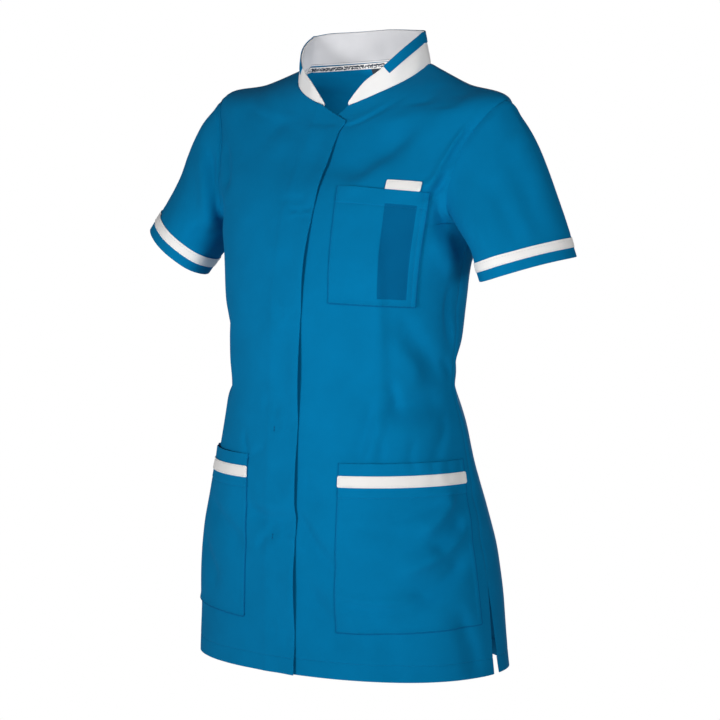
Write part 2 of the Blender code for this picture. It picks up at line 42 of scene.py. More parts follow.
# The cloth's form: sections from the hem up to the neckline, in the garment's own sizes. Each is a ring
# of a front and a back half, with superellipse quarters, and station is the height above the hem.
sectionColumns = ("station", "halfWidth", "sideY", "frontY", "backY",
                  "sideZ", "frontZ", "backZ", "frontPower", "backPower", "dipPower")
sections = {
    "hem":      (0.0000, 0.212, -0.037, -0.191, 0.097, -0.7560, -0.7535, -0.7560, 2.2, 2.3, 1.5),
    "hip":      (0.1525, 0.199, -0.044, -0.190, 0.082, -0.6000, -0.6000, -0.6000, 2.2, 2.2, 1.5),
    "highHip":  (0.2625, 0.174, -0.042, -0.186, 0.056, -0.4900, -0.4900, -0.4900, 2.2, 1.9, 1.5),
    "waist":    (0.3575, 0.156, -0.045, -0.180, 0.044, -0.3950, -0.3950, -0.3950, 2.2, 1.8, 1.5),
    "midriff":  (0.4375, 0.161, -0.045, -0.177, 0.052, -0.3150, -0.3150, -0.3150, 2.3, 2.0, 1.5),
    "bust":     (0.5175, 0.170, -0.041, -0.166, 0.062, -0.2350, -0.2380, -0.2350, 2.4, 2.1, 1.5),
    "underarm": (0.5525, 0.180, -0.034, -0.157, 0.073, -0.2000, -0.2060, -0.2000, 2.4, 2.3, 1.5),
    "chest":    (0.6100, 0.198, -0.028, -0.141, 0.080, -0.1450, -0.1640, -0.1420, 2.3, 2.4, 1.5),
    "blade":    (0.6650, 0.210, -0.025, -0.115, 0.079, -0.0900, -0.1230, -0.0900, 2.1, 2.2, 1.5),
    "tip":      (0.7100, 0.216, -0.021, -0.098, 0.069, -0.0460, -0.0930, -0.0490, 1.9, 2.0, 1.5),
    "shoulder": (0.7750, 0.152, -0.014, -0.087, 0.055, -0.0270, -0.0770, -0.0225, 2.1, 1.9, 1.4),
    "neck":     (0.8400, 0.091, -0.005, -0.077, 0.043, -0.0025, -0.0600,  0.0045, 2.4, 1.9, 1.3),
}
body = {name: np.array([row[i] for row in sections.values()]) for i, name in enumerate(sectionColumns)}
underarm = sections["underarm"][0]
tip = sections["tip"][0]
neck = sections["neck"][0]

garment = {
    "lap": 0.019,             # each front passes the middle by this
    "lapRamp": 0.036,         # over this width the upper front rises onto the lower one
    "lapLift": 0.0018,
    # how much lower each front's neckline is by the distance to its own side of the middle
    "neckDrops": {"right": ((-0.024, 0.070), (-0.006, 0.031), (0.004, 0.014), (0.019, 0.0)),
                  "left": ((-0.019, 0.062), (0.006, 0.031), (0.013, 0.014), (0.019, 0.0))},
    "neckLapOut": 0.005,      # the upper front's corner reaches this much farther over
    "neckLapFrom": 0.690,     # from this station up
    "neckLapFade": 0.130,
    "ventLength": 0.115,
    "ventSpreads": {"front": 0.0015, "back": 0.013},
    "ventStitch": 0.008,      # the vents are stitched this far in
    "ventFade": 0.02,
    "shoulderDrop": 0.0065,   # the left shoulder tip sits this much lower, the right one higher
    "shoulderDropFrom": -0.27,          # from this height up, and in full from the next
    "shoulderDropFull": -0.06,
    "armholeScoops": {"front": 0.26, "back": 0.18},     # how far they cut in, as shares of the ring
    "armholeSkew": 0.65,      # below 1, their deepest place is low
    "seamGap": 0.00005,       # each panel stops this short of its seam
    "seamDepth": 0.0005,      # a seam is a groove this deep
    "seamWidth": 0.0016,
    "seamRidge": 0.0003,      # with the turned allowance showing as a low ridge beside it
    "ridgeAway": 0.0062,
    "ridgeWidth": 0.0042,
    "neckSeamShare": 0.8,     # how much of that shows at the neck seam
    "armholeSeamShare": 0.05, # and at the armhole seams, which are pressed flat
    "armholeSeamFade": 0.03,
    "hemWidth": 0.020,        # turned hem, stitched at its top
    "clothThickness": 0.0009,
    "hemThickness": 0.0018,
    "facingThickness": 0.0015,
}


def curveBetween(start, end, leaving, arriving, t):
    # a cubic from start to end, by its directions at both
    return (start * (1 + 2 * t) * (1 - t) ** 2 + leaving * t * (1 - t) ** 2
            + end * t * t * (3 - 2 * t) - arriving * t * t * (1 - t))


def smoothCurve(knots, values, where):
    # through every knot without a kink
    knots = np.asarray(knots, float)
    values = np.asarray(values, float)
    where = np.clip(where, knots[0], knots[-1])
    i = np.clip(np.searchsorted(knots, where, side="right") - 1, 0, len(knots) - 2)
    gaps = np.diff(knots)
    rises = np.diff(values) / gaps
    slopes = np.empty(len(knots))
    slopes[0] = rises[0]
    slopes[-1] = rises[-1]
    slopes[1:-1] = (rises[:-1] * gaps[1:] + rises[1:] * gaps[:-1]) / (gaps[:-1] + gaps[1:])
    span = gaps[i]
    return curveBetween(values[i], values[i + 1], span * slopes[i], span * slopes[i + 1],
                        (where - knots[i]) / span)


def easeInOut(t):
    t = np.clip(t, 0.0, 1.0)
    return t * t * (3 - 2 * t)


def bump(distance, width):
    return np.exp(-(distance / width) ** 2)


surfaceGrid = {"stations": 421, "shares": 241, "turns": 721}     # how finely the form is worked out
tableStations = np.linspace(0.0, neck, surfaceGrid["stations"])
tableShares = np.linspace(0.0, 1.0, surfaceGrid["shares"])


def surfaceTable(half):
    # each half ring as points at equal shares of its length, and that length
    turn = np.linspace(0.0, math.pi / 2, surfaceGrid["turns"])
    points = np.empty((len(tableStations), len(tableShares), 3))
    lengths = np.empty(len(tableStations))
    for row, station in enumerate(tableStations):
        size = {name: float(smoothCurve(body["station"], values, station)) for name, values in body.items()}
        power = size[half + "Power"]
        x = size["halfWidth"] * np.sin(turn) ** (2 / power)
        away = np.abs(np.cos(turn)) ** (2 / power)
        away[-1] = 0.0
        y = size["sideY"] + (size[half + "Y"] - size["sideY"]) * away
        along = np.concatenate(([0.0], np.cumsum(np.hypot(np.diff(x), np.diff(y)))))
        lengths[row] = along[-1]
        along = along / along[-1]
        points[row, :, 0] = np.interp(tableShares, along, x)
        points[row, :, 1] = np.interp(tableShares, along, y)
        dip = 1 - tableShares ** size["dipPower"]
        points[row, :, 2] = size["sideZ"] + (size[half + "Z"] - size["sideZ"]) * dip
    return points, lengths


surfaces = {half: surfaceTable(half) for half in ("front", "back")}


def ringLength(half, station):
    return np.interp(station, tableStations, surfaces[half][1])


def bodyAt(half, across, station):
    # the point of the bare form at a distance along the cloth from the middle, and at a station
    across, station = np.broadcast_arrays(np.asarray(across, float), np.asarray(station, float))
    points = surfaces[half][0]
    share = np.clip(np.abs(across) / ringLength(half, station), 0.0, 1.0) * (len(tableShares) - 1)
    row = np.clip(station / neck, 0.0, 1.0) * (len(tableStations) - 1)
    i = np.minimum(row.astype(int), len(tableStations) - 2)
    j = np.minimum(share.astype(int), len(tableShares) - 2)
    u = (row - i)[..., None]
    v = (share - j)[..., None]
    place = ((points[i, j] * (1 - v) + points[i, j + 1] * v) * (1 - u)
             + (points[i + 1, j] * (1 - v) + points[i + 1, j + 1] * v) * u)
    place[..., 0] *= np.where(across < 0, -1.0, 1.0)
    return place


def unit(vectors):
    return vectors / np.maximum(np.linalg.norm(vectors, axis=-1, keepdims=True), 1e-12)


def bodyNormal(half, across, station):
    across, station = np.broadcast_arrays(np.asarray(across, float), np.asarray(station, float))
    step = 0.004
    limit = ringLength(half, station) - step
    across = np.clip(across, -limit, limit)
    share = across / ringLength(half, station)
    low = np.maximum(station - step, 0.0)
    high = np.minimum(station + step, neck)
    sideways = bodyAt(half, across + step, station) - bodyAt(half, across - step, station)
    upward = (bodyAt(half, share * ringLength(half, high), high)
              - bodyAt(half, share * ringLength(half, low), low))
    normal = unit(np.cross(sideways, upward))
    return normal if half == "front" else -normal


def posed(points):
    # one shoulder hangs a little lower than the other
    points = np.array(points, float)
    rise = (points[..., 2] - garment["shoulderDropFrom"]) / (garment["shoulderDropFull"]
                                                             - garment["shoulderDropFrom"])
    out = points[..., 0] / sections["tip"][1]
    points[..., 2] -= garment["shoulderDrop"] * easeInOut(rise) * out * np.abs(out)
    return points


def seamDistance(half, station):
    # from the middle to the side seam, the armhole or the shoulder seam
    turn = np.clip((station - underarm) / (tip - underarm), 0.0, 1.0) ** garment["armholeSkew"]
    cut = garment["armholeScoops"][half] * np.sqrt(np.maximum(0.0, 1 - (2 * turn - 1) ** 2))
    return ringLength(half, station) * (1 - cut)


def panelEdge(half, station):
    spread = garment["ventSpreads"][half] * np.maximum(0.0, 1 - station / garment["ventLength"])
    return seamDistance(half, station) - garment["seamGap"] - spread


# Folds of the worn cloth, as soft ridges (+) and troughs (-) along lines on the body's surface.
# across and station are the two ends, width is the half width, height is in metres, and bow is how
# far its middle strays. Left is +, right is -.
foldColumns = ("half", "across0", "station0", "across1", "station1", "width", "height", "bow")
bodyFolds = {
    # below the collar and over the chest
    "leftCollarStreak":   ("front", 0.096, 0.800, 0.028, 0.728, 0.0080, -0.0010, -0.002),
    "leftCollarRidge":    ("front", 0.074, 0.798, 0.030, 0.746, 0.0080, 0.0009, -0.002),
    "leftChestDiagonal":  ("front", 0.120, 0.700, 0.048, 0.632, 0.0210, -0.0062, 0.005),
    "leftChestSwell":     ("front", 0.100, 0.660, 0.052, 0.606, 0.0200, 0.0035, 0.004),
    "leftShoulderPuck1":  ("front", 0.140, 0.800, 0.122, 0.762, 0.0160, -0.0018, 0.003),
    "leftShoulderPuck2":  ("front", 0.176, 0.764, 0.160, 0.728, 0.0160, -0.0018, 0.003),
    "leftArmholeRidge":   ("front", 0.192, 0.688, 0.166, 0.604, 0.0038, 0.0040, -0.004),
    "leftArmholeTrough":  ("front", 0.204, 0.686, 0.180, 0.612, 0.0042, -0.0026, -0.004),
    "leftDragRidge":      ("front", 0.190, 0.642, 0.150, 0.602, 0.0040, 0.0030, 0.002),
    "leftDragUnder":      ("front", 0.196, 0.624, 0.160, 0.592, 0.0050, -0.0048, 0.002),
    "rightChestHollow":   ("front", -0.160, 0.740, -0.070, 0.715, 0.0300, -0.0040, -0.004),
    "rightCollarTrough":  ("front", -0.086, 0.800, -0.052, 0.700, 0.0200, -0.0020, -0.004),
    "rightArmholeTrough": ("front", -0.176, 0.660, -0.150, 0.606, 0.0100, -0.0042, 0.004),
    "rightStudHollow":    ("front", -0.034, 0.597, 0.004, 0.596, 0.0085, -0.0014, 0.001),
    # under the arms, toward the bust
    "leftArmShade":       ("front", 0.178, 0.606, 0.196, 0.530, 0.0110, -0.0051, 0.003),
    "leftBustDrag":       ("front", 0.236, 0.512, 0.186, 0.572, 0.0110, -0.0048, 0.005),
    "leftBustRidge":      ("front", 0.222, 0.492, 0.180, 0.540, 0.0110, 0.0039, 0.004),
    "leftBustTurn":       ("front", 0.110, 0.545, 0.121, 0.360, 0.0095, 0.0042, 0.002),
    "rightBustDrag":      ("front", -0.232, 0.520, -0.172, 0.590, 0.0130, -0.0045, -0.005),
    "rightBustRidge":     ("front", -0.236, 0.500, -0.180, 0.560, 0.0120, 0.0035, -0.004),
    # the waist
    "leftWaistTrough":    ("front", 0.142, 0.440, 0.204, 0.360, 0.0130, -0.0054, 0.003),
    "leftWaistRidge":     ("front", 0.138, 0.404, 0.176, 0.364, 0.0110, 0.0026, 0.002),
    "leftWaistTrough2":   ("front", 0.128, 0.326, 0.206, 0.336, 0.0120, -0.0046, 0.004),
    "leftWaistEnd":       ("front", 0.134, 0.362, 0.146, 0.322, 0.0070, -0.0039, 0.002),
    "leftHipShelf":       ("front", 0.140, 0.300, 0.214, 0.300, 0.0180, 0.0028, 0.003),
    "leftSeamLine":       ("front", 0.216, 0.470, 0.224, 0.404, 0.0050, -0.0039, -0.003),
    "leftSeamPucker":     ("front", 0.208, 0.384, 0.230, 0.364, 0.0045, -0.0035, 0.002),
    "rightWaistTrough":   ("front", -0.130, 0.438, -0.170, 0.362, 0.0160, -0.0051, -0.006),
    "rightWaistTrough2":  ("front", -0.128, 0.340, -0.212, 0.356, 0.0140, -0.0048, -0.005),
    "rightWaistPuck":     ("front", -0.036, 0.334, -0.010, 0.318, 0.0090, -0.0016, 0.002),
    # over the left hip pocket, and at the right one's corner
    "leftHipPleat":       ("front", 0.112, 0.336, 0.095, 0.258, 0.0070, -0.0036, 0.003),
    "leftHipPleatRidge":  ("front", 0.124, 0.320, 0.110, 0.262, 0.0080, 0.0024, 0.003),
    "leftHipPuck1":       ("front", 0.128, 0.292, 0.125, 0.258, 0.0048, -0.0021, 0.001),
    "leftHipPuck2":       ("front", 0.168, 0.288, 0.163, 0.256, 0.0044, -0.0018, -0.001),
    "leftHipPuck3":       ("front", 0.212, 0.312, 0.196, 0.262, 0.0080, -0.0030, 0.002),
    "rightHipPleat":      ("front", -0.072, 0.290, -0.060, 0.262, 0.0032, -0.0024, -0.001),
    "rightHipPleat2":     ("front", -0.058, 0.263, -0.032, 0.274, 0.0030, -0.0018, 0.001),
    # between the pockets
    "crossMain":          ("front", -0.056, 0.198, 0.022, 0.193, 0.0090, -0.0048, -0.007),
    "crossSwell":         ("front", -0.050, 0.214, 0.010, 0.210, 0.0100, 0.0018, -0.005),
    "crossShort":         ("front", -0.040, 0.152, -0.014, 0.176, 0.0055, -0.0026, 0.002),
    "crossRight":         ("front", 0.026, 0.192, 0.074, 0.130, 0.0085, -0.0050, -0.003),
    "crossRight2":        ("front", 0.030, 0.244, 0.056, 0.212, 0.0080, -0.0024, -0.002),
    "lowLeftHollow":      ("front", 0.034, 0.112, 0.096, 0.038, 0.0160, -0.0060, -0.004),
    # inside the left hip pocket, down to the hem
    "leftPocketRidge":    ("front", 0.222, 0.222, 0.178, 0.178, 0.0105, 0.0060, 0.004),
    "leftPocketTrough":   ("front", 0.236, 0.192, 0.196, 0.154, 0.0110, -0.0062, 0.003),
    "leftPocketRidge2":   ("front", 0.238, 0.176, 0.158, 0.132, 0.0085, 0.0062, 0.004),
    "leftPocketTrough2":  ("front", 0.240, 0.146, 0.170, 0.096, 0.0130, -0.0078, 0.005),
    "leftPocketFaint":    ("front", 0.138, 0.192, 0.204, 0.217, 0.0055, -0.0021, -0.002),
    "leftPocketFaint2":   ("front", 0.080, 0.178, 0.158, 0.176, 0.0080, -0.0019, 0.006),
    "leftHemRipple":      ("front", 0.080, 0.096, 0.174, 0.093, 0.0048, -0.0026, -0.007),
    "leftHemRippleUp":    ("front", 0.080, 0.104, 0.174, 0.101, 0.0060, 0.0016, -0.007),
    "leftHemFold":        ("front", 0.232, 0.080, 0.262, 0.002, 0.0120, -0.0046, 0.003),
    "leftHemFold2":       ("front", 0.140, 0.064, 0.150, 0.002, 0.0120, -0.0032, 0.002),
    "rightPocketTrough":  ("front", -0.150, 0.196, -0.066, 0.150, 0.0110, -0.0046, 0.004),
    "rightPocketTrough2": ("front", -0.176, 0.150, -0.118, 0.096, 0.0130, -0.0046, 0.004),
    # the back, plainly
    "backNeckRoll":       ("back", -0.070, 0.792, 0.070, 0.794, 0.0120, 0.0024, 0.006),
    "backYokeLeft":       ("back", 0.060, 0.700, 0.160, 0.640, 0.0200, -0.0037, 0.008),
    "backYokeRight":      ("back", -0.052, 0.706, -0.164, 0.632, 0.0200, -0.0040, -0.007),
    "backArmLeft":        ("back", 0.204, 0.610, 0.128, 0.520, 0.0130, -0.0046, 0.006),
    "backArmRidgeLeft":   ("back", 0.188, 0.560, 0.136, 0.490, 0.0120, 0.0026, 0.005),
    "backArmRight":       ("back", -0.206, 0.600, -0.140, 0.506, 0.0140, -0.0044, -0.006),
    "backWaistLeft":      ("back", 0.060, 0.430, 0.186, 0.372, 0.0130, -0.0048, 0.007),
    "backWaistLeft2":     ("back", 0.076, 0.372, 0.190, 0.338, 0.0120, -0.0040, 0.006),
    "backWaistRight":     ("back", -0.070, 0.420, -0.184, 0.362, 0.0140, -0.0046, -0.007),
    "backWaistRight2":    ("back", -0.058, 0.366, -0.170, 0.322, 0.0120, -0.0035, -0.005),
    "backSmallRoll":      ("back", -0.060, 0.394, 0.056, 0.402, 0.0120, 0.0033, 0.005),
    "backSmallTrough":    ("back", -0.066, 0.366, 0.070, 0.372, 0.0120, -0.0037, 0.005),
    "backHipLeft":        ("back", 0.116, 0.250, 0.140, 0.030, 0.0260, 0.0040, 0.008),
    "backHipRight":       ("back", -0.100, 0.240, -0.132, 0.010, 0.0260, 0.0037, -0.008),
    "backHipMiddle":      ("back", 0.020, 0.230, 0.004, 0.000, 0.0240, -0.0026, 0.006),
}
# folds that run over a side seam, which both its panels follow: side, station, width, reach, height
seamRolls = ((1.0, 0.446, 0.015, 0.030, -0.0022), (1.0, 0.408, 0.018, 0.040, 0.0010),
             (1.0, 0.352, 0.016, 0.045, -0.0014), (1.0, 0.300, 0.022, 0.045, 0.0018),
             (1.0, 0.216, 0.014, 0.030, -0.0018), (1.0, 0.162, 0.014, 0.034, -0.0020),
             (-1.0, 0.436, 0.015, 0.035, -0.0024), (-1.0, 0.372, 0.016, 0.040, -0.0026),
             (-1.0, 0.322, 0.018, 0.040, 0.0016), (-1.0, 0.205, 0.020, 0.034, -0.0018))
# studs under the upper front: they hold it down, and it opens a little between them
placket = {
    "studStations": (0.576, 0.436, 0.300, 0.168, 0.045),
    "studAcross": -0.001,
    "studRadius": 0.0052,
    "studPrint": 0.00045,     # how far a stud's rim shows through
    "printWidth": 0.0012,
    "studSink": 0.0010,       # how far the cloth sinks round it
    "sinkWidth": 0.014,
    "puckerTurns": (-0.5, 0.35, 1.1, 2.6, 3.4, 4.1),     # short puckers that run out from a stud
    "puckerLength": 0.020,
    "puckerWidth": 0.0032,
    "puckerHeight": 0.0011,
    "puckerStart": 0.004,
    "edgeOpening": 0.0050,    # how far the edge stands off midway between two studs
    "openingReach": 0.016,
    "openingEnds": (-0.045, 0.720),
    "tackAcross": 0.016,      # the bar tacks, this far to the front's own side of the middle
    "tackStations": (0.300, 0.168),
    "tackHalf": 0.0042,
    "facingEdge": 0.026,      # where the facing behind the front ends
    "facingFade": 0.006,
    "facingStep": 0.0006,
}
# how every fold is shaped, the slack between folds, and what holds the cloth flat
foldShape = {
    "plainPart": 0.28,        # a fold keeps its height this far from its middle, as a share of its length
    "endPart": 0.34,          # and fades over this
    "endPower": 2.2,
    "widening": 0.35,         # it is this much wider at its second end
    "steepFlank": 0.75,
    "softFlank": 1.25,
}
slack = {"waves": 10, "shortest": 0.045, "longest": 0.150, "steepness": 0.0030, "share": 0.35,
         "seeds": {"front": 7, "back": 11}}
hold = {"seamFrom": 0.0005, "seamFade": 0.011, "neckFade": 0.018, "ventFrom": 0.02, "ventShare": 0.8}


def foldEnd(t):
    # grows from 0 where a fold starts to fade toward either end
    beyond = np.maximum(0.0, np.abs(t - 0.5) - foldShape["plainPart"]) / foldShape["endPart"]
    return beyond ** 2 * foldShape["endPower"]


def foldPlace(a, b, da, db, bow):
    # t runs from 0 to 1 along a fold from its first end, and off is the distance from its bowed line
    length = math.hypot(da, db)
    t = (a * da + b * db) / length ** 2
    return t, (b * da - a * db) / length - bow * 4 * t * (1 - t)


def foldLift(half, across, station):
    lift = np.zeros(np.broadcast(across, station).shape)
    for row in bodyFolds.values():
        fold = dict(zip(foldColumns, row))
        if fold["half"] != half:
            continue
        t, off = foldPlace(across - fold["across0"], station - fold["station0"],
                           fold["across1"] - fold["across0"], fold["station1"] - fold["station0"],
                           fold["bow"])
        width = fold["width"] * (1.0 + foldShape["widening"] * t)
        side = np.where(off > 0, foldShape["steepFlank"], foldShape["softFlank"])
        lift = lift + fold["height"] * np.exp(-(off / (width * side)) ** 2 - foldEnd(t))
    return lift


def slackLift(half, across, station):
    # the unevenness of cloth that isn't pressed, from a few long waves
    waves = np.random.default_rng(slack["seeds"][half])
    lift = np.zeros(np.broadcast(across, station).shape)
    for _ in range(slack["waves"]):
        length = waves.uniform(slack["shortest"], slack["longest"])
        angle = waves.uniform(0, math.pi)
        phase = waves.uniform(0, 2 * math.pi)
        way = across * math.cos(angle) + station * math.sin(angle)
        lift = lift + length * slack["steepness"] * np.sin(2 * math.pi * way / length + phase)
    return lift * slack["share"]


def bodyLift(half, across, station):
    # folds and slack, which die away toward the seams so that the pieces still meet there
    lift = foldLift(half, across, station) + slackLift(half, across, station)
    offset = seamDistance(half, station) - np.abs(across)
    held = (easeInOut((offset - hold["seamFrom"]) / hold["seamFade"])
            * easeInOut((neck - station) / hold["neckFade"]))
    # free beside the vent
    loose = 1 - easeInOut((station - hold["ventFrom"]) / (garment["ventLength"] - hold["ventFrom"]))
    lift = lift * np.maximum(held, loose * hold["ventShare"])
    for side, place, width, reach, height in seamRolls:
        lift = lift + height * bump(station - place, width) * bump(offset, reach) * (side * across > 0)
    return lift


def seamRelief(offset):
    return (-garment["seamDepth"] * bump(offset, garment["seamWidth"])
            + garment["seamRidge"] * bump(offset - garment["ridgeAway"], garment["ridgeWidth"]))


def seamShow(station):
    # side seams show in full, and armhole seams hardly
    hidden = 1 - garment["armholeSeamShare"]
    return 1 - hidden * easeInOut((station - underarm) / garment["armholeSeamFade"])


def stitchGroove(distance, depth=0.00032, width=0.0009):
    return -depth * bump(distance, width)


def edgeRelief(half, across, station, row):
    # the seams, the hem's stitching and the vent's; row is the station before the neckline falls away
    offset = panelEdge(half, row) - np.abs(across)
    vent = easeInOut((row - garment["ventLength"]) / garment["ventFade"])
    relief = seamRelief(offset) * vent * seamShow(station)
    relief = relief + seamRelief(neck - row) * garment["neckSeamShare"]
    relief = relief + stitchGroove(station - garment["hemWidth"])
    return relief + stitchGroove(offset - garment["ventStitch"]) * (1 - vent)


def lapRise(across):
    # the upper front rises over the lower one
    return garment["lapLift"] * easeInOut(1 - (across - garment["lap"]) / garment["lapRamp"])


def studLift(across, station):
    # the upper front alone; across grows toward its own side, so its free edge is at -lap
    lift = np.zeros(np.broadcast(across, station).shape)
    aside = across - placket["studAcross"]
    for stud in placket["studStations"]:
        above = station - stud
        away = np.hypot(aside, above)
        lift = lift + placket["studPrint"] * bump(away - placket["studRadius"], placket["printWidth"])
        lift = lift - placket["studSink"] * bump(away, placket["sinkWidth"])
        for number, turn in enumerate(placket["puckerTurns"]):
            along = aside * math.cos(turn) + above * math.sin(turn) - placket["puckerStart"]
            off = above * math.cos(turn) - aside * math.sin(turn)
            reach = placket["puckerLength"] * (0.8 + 0.25 * (number % 3))
            fade = easeInOut(along / 0.006) * easeInOut(1 - (along - 0.004) / reach)
            lift = lift + placket["puckerHeight"] * (-1) ** number * bump(off, placket["puckerWidth"]) * fade
    opening = np.zeros_like(lift)
    lowest, highest = placket["openingEnds"]
    ends = sorted(placket["studStations"]) + [highest]
    for low, high in zip([lowest] + ends, ends):
        inside = np.clip((station - low) / (high - low), 0.0, 1.0)
        strength = 0.55 + 0.45 * math.sin(high * 61.0) ** 2      # no two openings are alike
        opening = np.maximum(opening, strength * np.sin(math.pi * inside) ** 1.6)
    return lift + placket["edgeOpening"] * bump(across + garment["lap"], placket["openingReach"]) * opening


def linear(hexColour):
    # sRGB to the linear values that shaders take
    channels = [int(hexColour[i:i + 2], 16) / 255 for i in (1, 3, 5)]
    return tuple(c / 12.92 if c <= 0.04045 else ((c + 0.055) / 1.055) ** 2.4 for c in channels) + (1.0,)


def addNode(tree, kind, settings=None, inputs=None, links=None):
    node = tree.nodes.new(kind)
    for name, value in (settings or {}).items():
        setattr(node, name, value)
    for name, value in (inputs or {}).items():
        node.inputs[name].default_value = value
    for name, source in (links or {}).items():
        tree.links.new(source, node.inputs[name])
    return node


def startMaterial(name):
    material = bpy.data.materials.new(name)
    material.use_nodes = True
    return material, material.node_tree, material.node_tree.nodes["Principled BSDF"]


def bandScale(pitch):
    # a wave texture has one band to each 2 pi / 20 of its scaled coordinate
    return 2 * math.pi / 20 / pitch


def wovenTwill(name, colour, deepColour, walePitch, threadPitch, waleHeight, roughness, sheen):
    # A 2/1 twill shows fine ridges at 45 degrees, called wales, over a matt ground with a faint bloom.
    # Its grain follows the cloth through the uv map, which is in metres.
    material, tree, shader = startMaterial(name)
    uv = addNode(tree, "ShaderNodeUVMap", {"uv_map": "cloth"})
    turned = addNode(tree, "ShaderNodeMapping", inputs={"Rotation": (0.0, 0.0, math.radians(45))},
                     links={"Vector": uv.outputs["UV"]})
    wale = addNode(tree, "ShaderNodeTexWave", {"wave_type": "BANDS", "bands_direction": "X"},
                   {"Scale": bandScale(walePitch), "Distortion": 0.9, "Detail": 1.0, "Detail Scale": 2.0},
                   {"Vector": turned.outputs["Vector"]})
    thread = addNode(tree, "ShaderNodeTexNoise", inputs={"Scale": 1 / threadPitch, "Detail": 2.0},
                     links={"Vector": uv.outputs["UV"]})
    slubLength = 0.055        # the yarn's slow change of tone
    slub = addNode(tree, "ShaderNodeTexNoise",
                   inputs={"Scale": 1 / slubLength, "Detail": 4.0, "Roughness": 0.6},
                   links={"Vector": uv.outputs["UV"]})
    tone = addNode(tree, "ShaderNodeMix", {"data_type": "RGBA"},
                   {"A": linear(deepColour), "B": linear(colour)})
    weight = addNode(tree, "ShaderNodeMapRange", inputs={"From Min": 0.3, "From Max": 0.7,
                                                         "To Min": 0.35, "To Max": 1.0},
                     links={"Value": slub.outputs["Fac"]})
    grain = addNode(tree, "ShaderNodeMapRange", inputs={"From Min": 0.0, "From Max": 1.0,
                                                        "To Min": 0.72, "To Max": 1.0},
                    links={"Value": wale.outputs["Fac"]})
    mixed = addNode(tree, "ShaderNodeMath", {"operation": "MULTIPLY"})
    tree.links.new(weight.outputs["Result"], mixed.inputs[0])
    tree.links.new(grain.outputs["Result"], mixed.inputs[1])
    tree.links.new(mixed.outputs["Value"], tone.inputs["Factor"])
    tree.links.new(tone.outputs["Result"], shader.inputs["Base Color"])
    rough = addNode(tree, "ShaderNodeMapRange",
                    inputs={"To Min": roughness - 0.06, "To Max": roughness + 0.05},
                    links={"Value": thread.outputs["Fac"]})
    tree.links.new(rough.outputs["Result"], shader.inputs["Roughness"])
    relief = addNode(tree, "ShaderNodeMath", {"operation": "MULTIPLY_ADD"}, links={0: wale.outputs["Fac"]})
    relief.inputs[1].default_value = 0.7
    tree.links.new(thread.outputs["Fac"], relief.inputs[2])
    weave = addNode(tree, "ShaderNodeBump", inputs={"Strength": 0.35, "Distance": waleHeight},
                    links={"Height": relief.outputs["Value"]})
    tree.links.new(weave.outputs["Normal"], shader.inputs["Normal"])
    shader.inputs["Metallic"].default_value = 0.0
    shader.inputs["IOR"].default_value = 1.46
    shader.inputs["Specular IOR Level"].default_value = 0.04     # matt: hardly any surface gloss
    shader.inputs["Sheen Weight"].default_value = sheen
    shader.inputs["Sheen Roughness"].default_value = 0.5
    return material


def sewingThread(name, colour, deepColour):
    # Spun polyester thread: its two plies show as fine slanting bands, a little brighter than the cloth.
    material, tree, shader = startMaterial(name)
    plyPitch = 0.0009
    place = addNode(tree, "ShaderNodeTexCoord")
    plies = addNode(tree, "ShaderNodeTexWave", {"wave_type": "BANDS", "bands_direction": "DIAGONAL"},
                    {"Scale": bandScale(plyPitch), "Distortion": 0.5}, {"Vector": place.outputs["Object"]})
    tone = addNode(tree, "ShaderNodeMix", {"data_type": "RGBA"},
                   {"A": linear(deepColour), "B": linear(colour)}, {"Factor": plies.outputs["Fac"]})
    tree.links.new(tone.outputs["Result"], shader.inputs["Base Color"])
    shader.inputs["Roughness"].default_value = 0.6
    shader.inputs["Specular IOR Level"].default_value = 0.15
    return material


# The wales are drawn coarser than the real 0.4 mm, or they would not show at this size.
tealTwill = {"walePitch": 0.0016, "threadPitch": 0.0007, "waleHeight": 0.00030, "roughness": 0.88,
             "sheen": 0.012}
whiteTwill = {**tealTwill, "waleHeight": 0.00026, "roughness": 0.82, "sheen": 0.02}
satinWeave = {"walePitch": 0.0011, "threadPitch": 0.0005, "waleHeight": 0.00015, "roughness": 0.55,
              "sheen": 0.05}
twillBlue = wovenTwill("polyesterCottonTwillTeal", "#0078AC", "#006E9E", **tealTwill)
# painted shade: darker copies of the teal for the thin line along the pocket edges and for the sunk pen
# section
twillPaintedShade = wovenTwill("polyesterCottonTwillTealPaintedShade", "#006292", "#005987", **tealTwill)
twillPaintedEdgeShade = wovenTwill("polyesterCottonTwillTealPaintedEdgeShade", "#00669A", "#005C8C", **tealTwill)
# optically bright white on the collar; painted shade in a little greyer copy on the thin strips, which the
# light hits harder, and in a grey copy on the collar's inside
twillWhite = wovenTwill("polyesterCottonTwillWhite", "#FCFAF7", "#F2F0ED", **whiteTwill)
twillStripPaintedShade = wovenTwill("polyesterCottonTwillStripPaintedShade", "#F5F3F0", "#EBE9E6", **whiteTwill)
twillWhitePaintedShade = wovenTwill("polyesterCottonTwillWhitePaintedShade", "#D6D6D8", "#C6C6C9",
                         **{**whiteTwill, "roughness": 0.84})
# a label's satin is finer and has a soft gloss
labelSatin = wovenTwill("wovenLabelSatin", "#3E444B", "#33383F", **satinWeave)
threadBlue = sewingThread("spunPolyesterThreadTeal", "#0A7FB4", "#00608E")
threadDeep = sewingThread("spunPolyesterThreadDeepTeal", "#005484", "#003A60")
threadWhite = sewingThread("spunPolyesterThreadWhite", "#F2F2F2", "#CFCFD3")
threadNavy = sewingThread("overlockThreadNavy", "#16304F", "#0C1D33")
print("materials ready")


def gridFaces(rows, columns, closed, start=0):
    i, j = np.meshgrid(np.arange(rows - 1), np.arange(columns if closed else columns - 1), indexing="ij")
    beside = (j + 1) % columns
    quads = np.stack((i * columns + j, i * columns + beside,
                      (i + 1) * columns + beside, (i + 1) * columns + j), axis=-1)
    return quads.reshape(-1, 4) + start


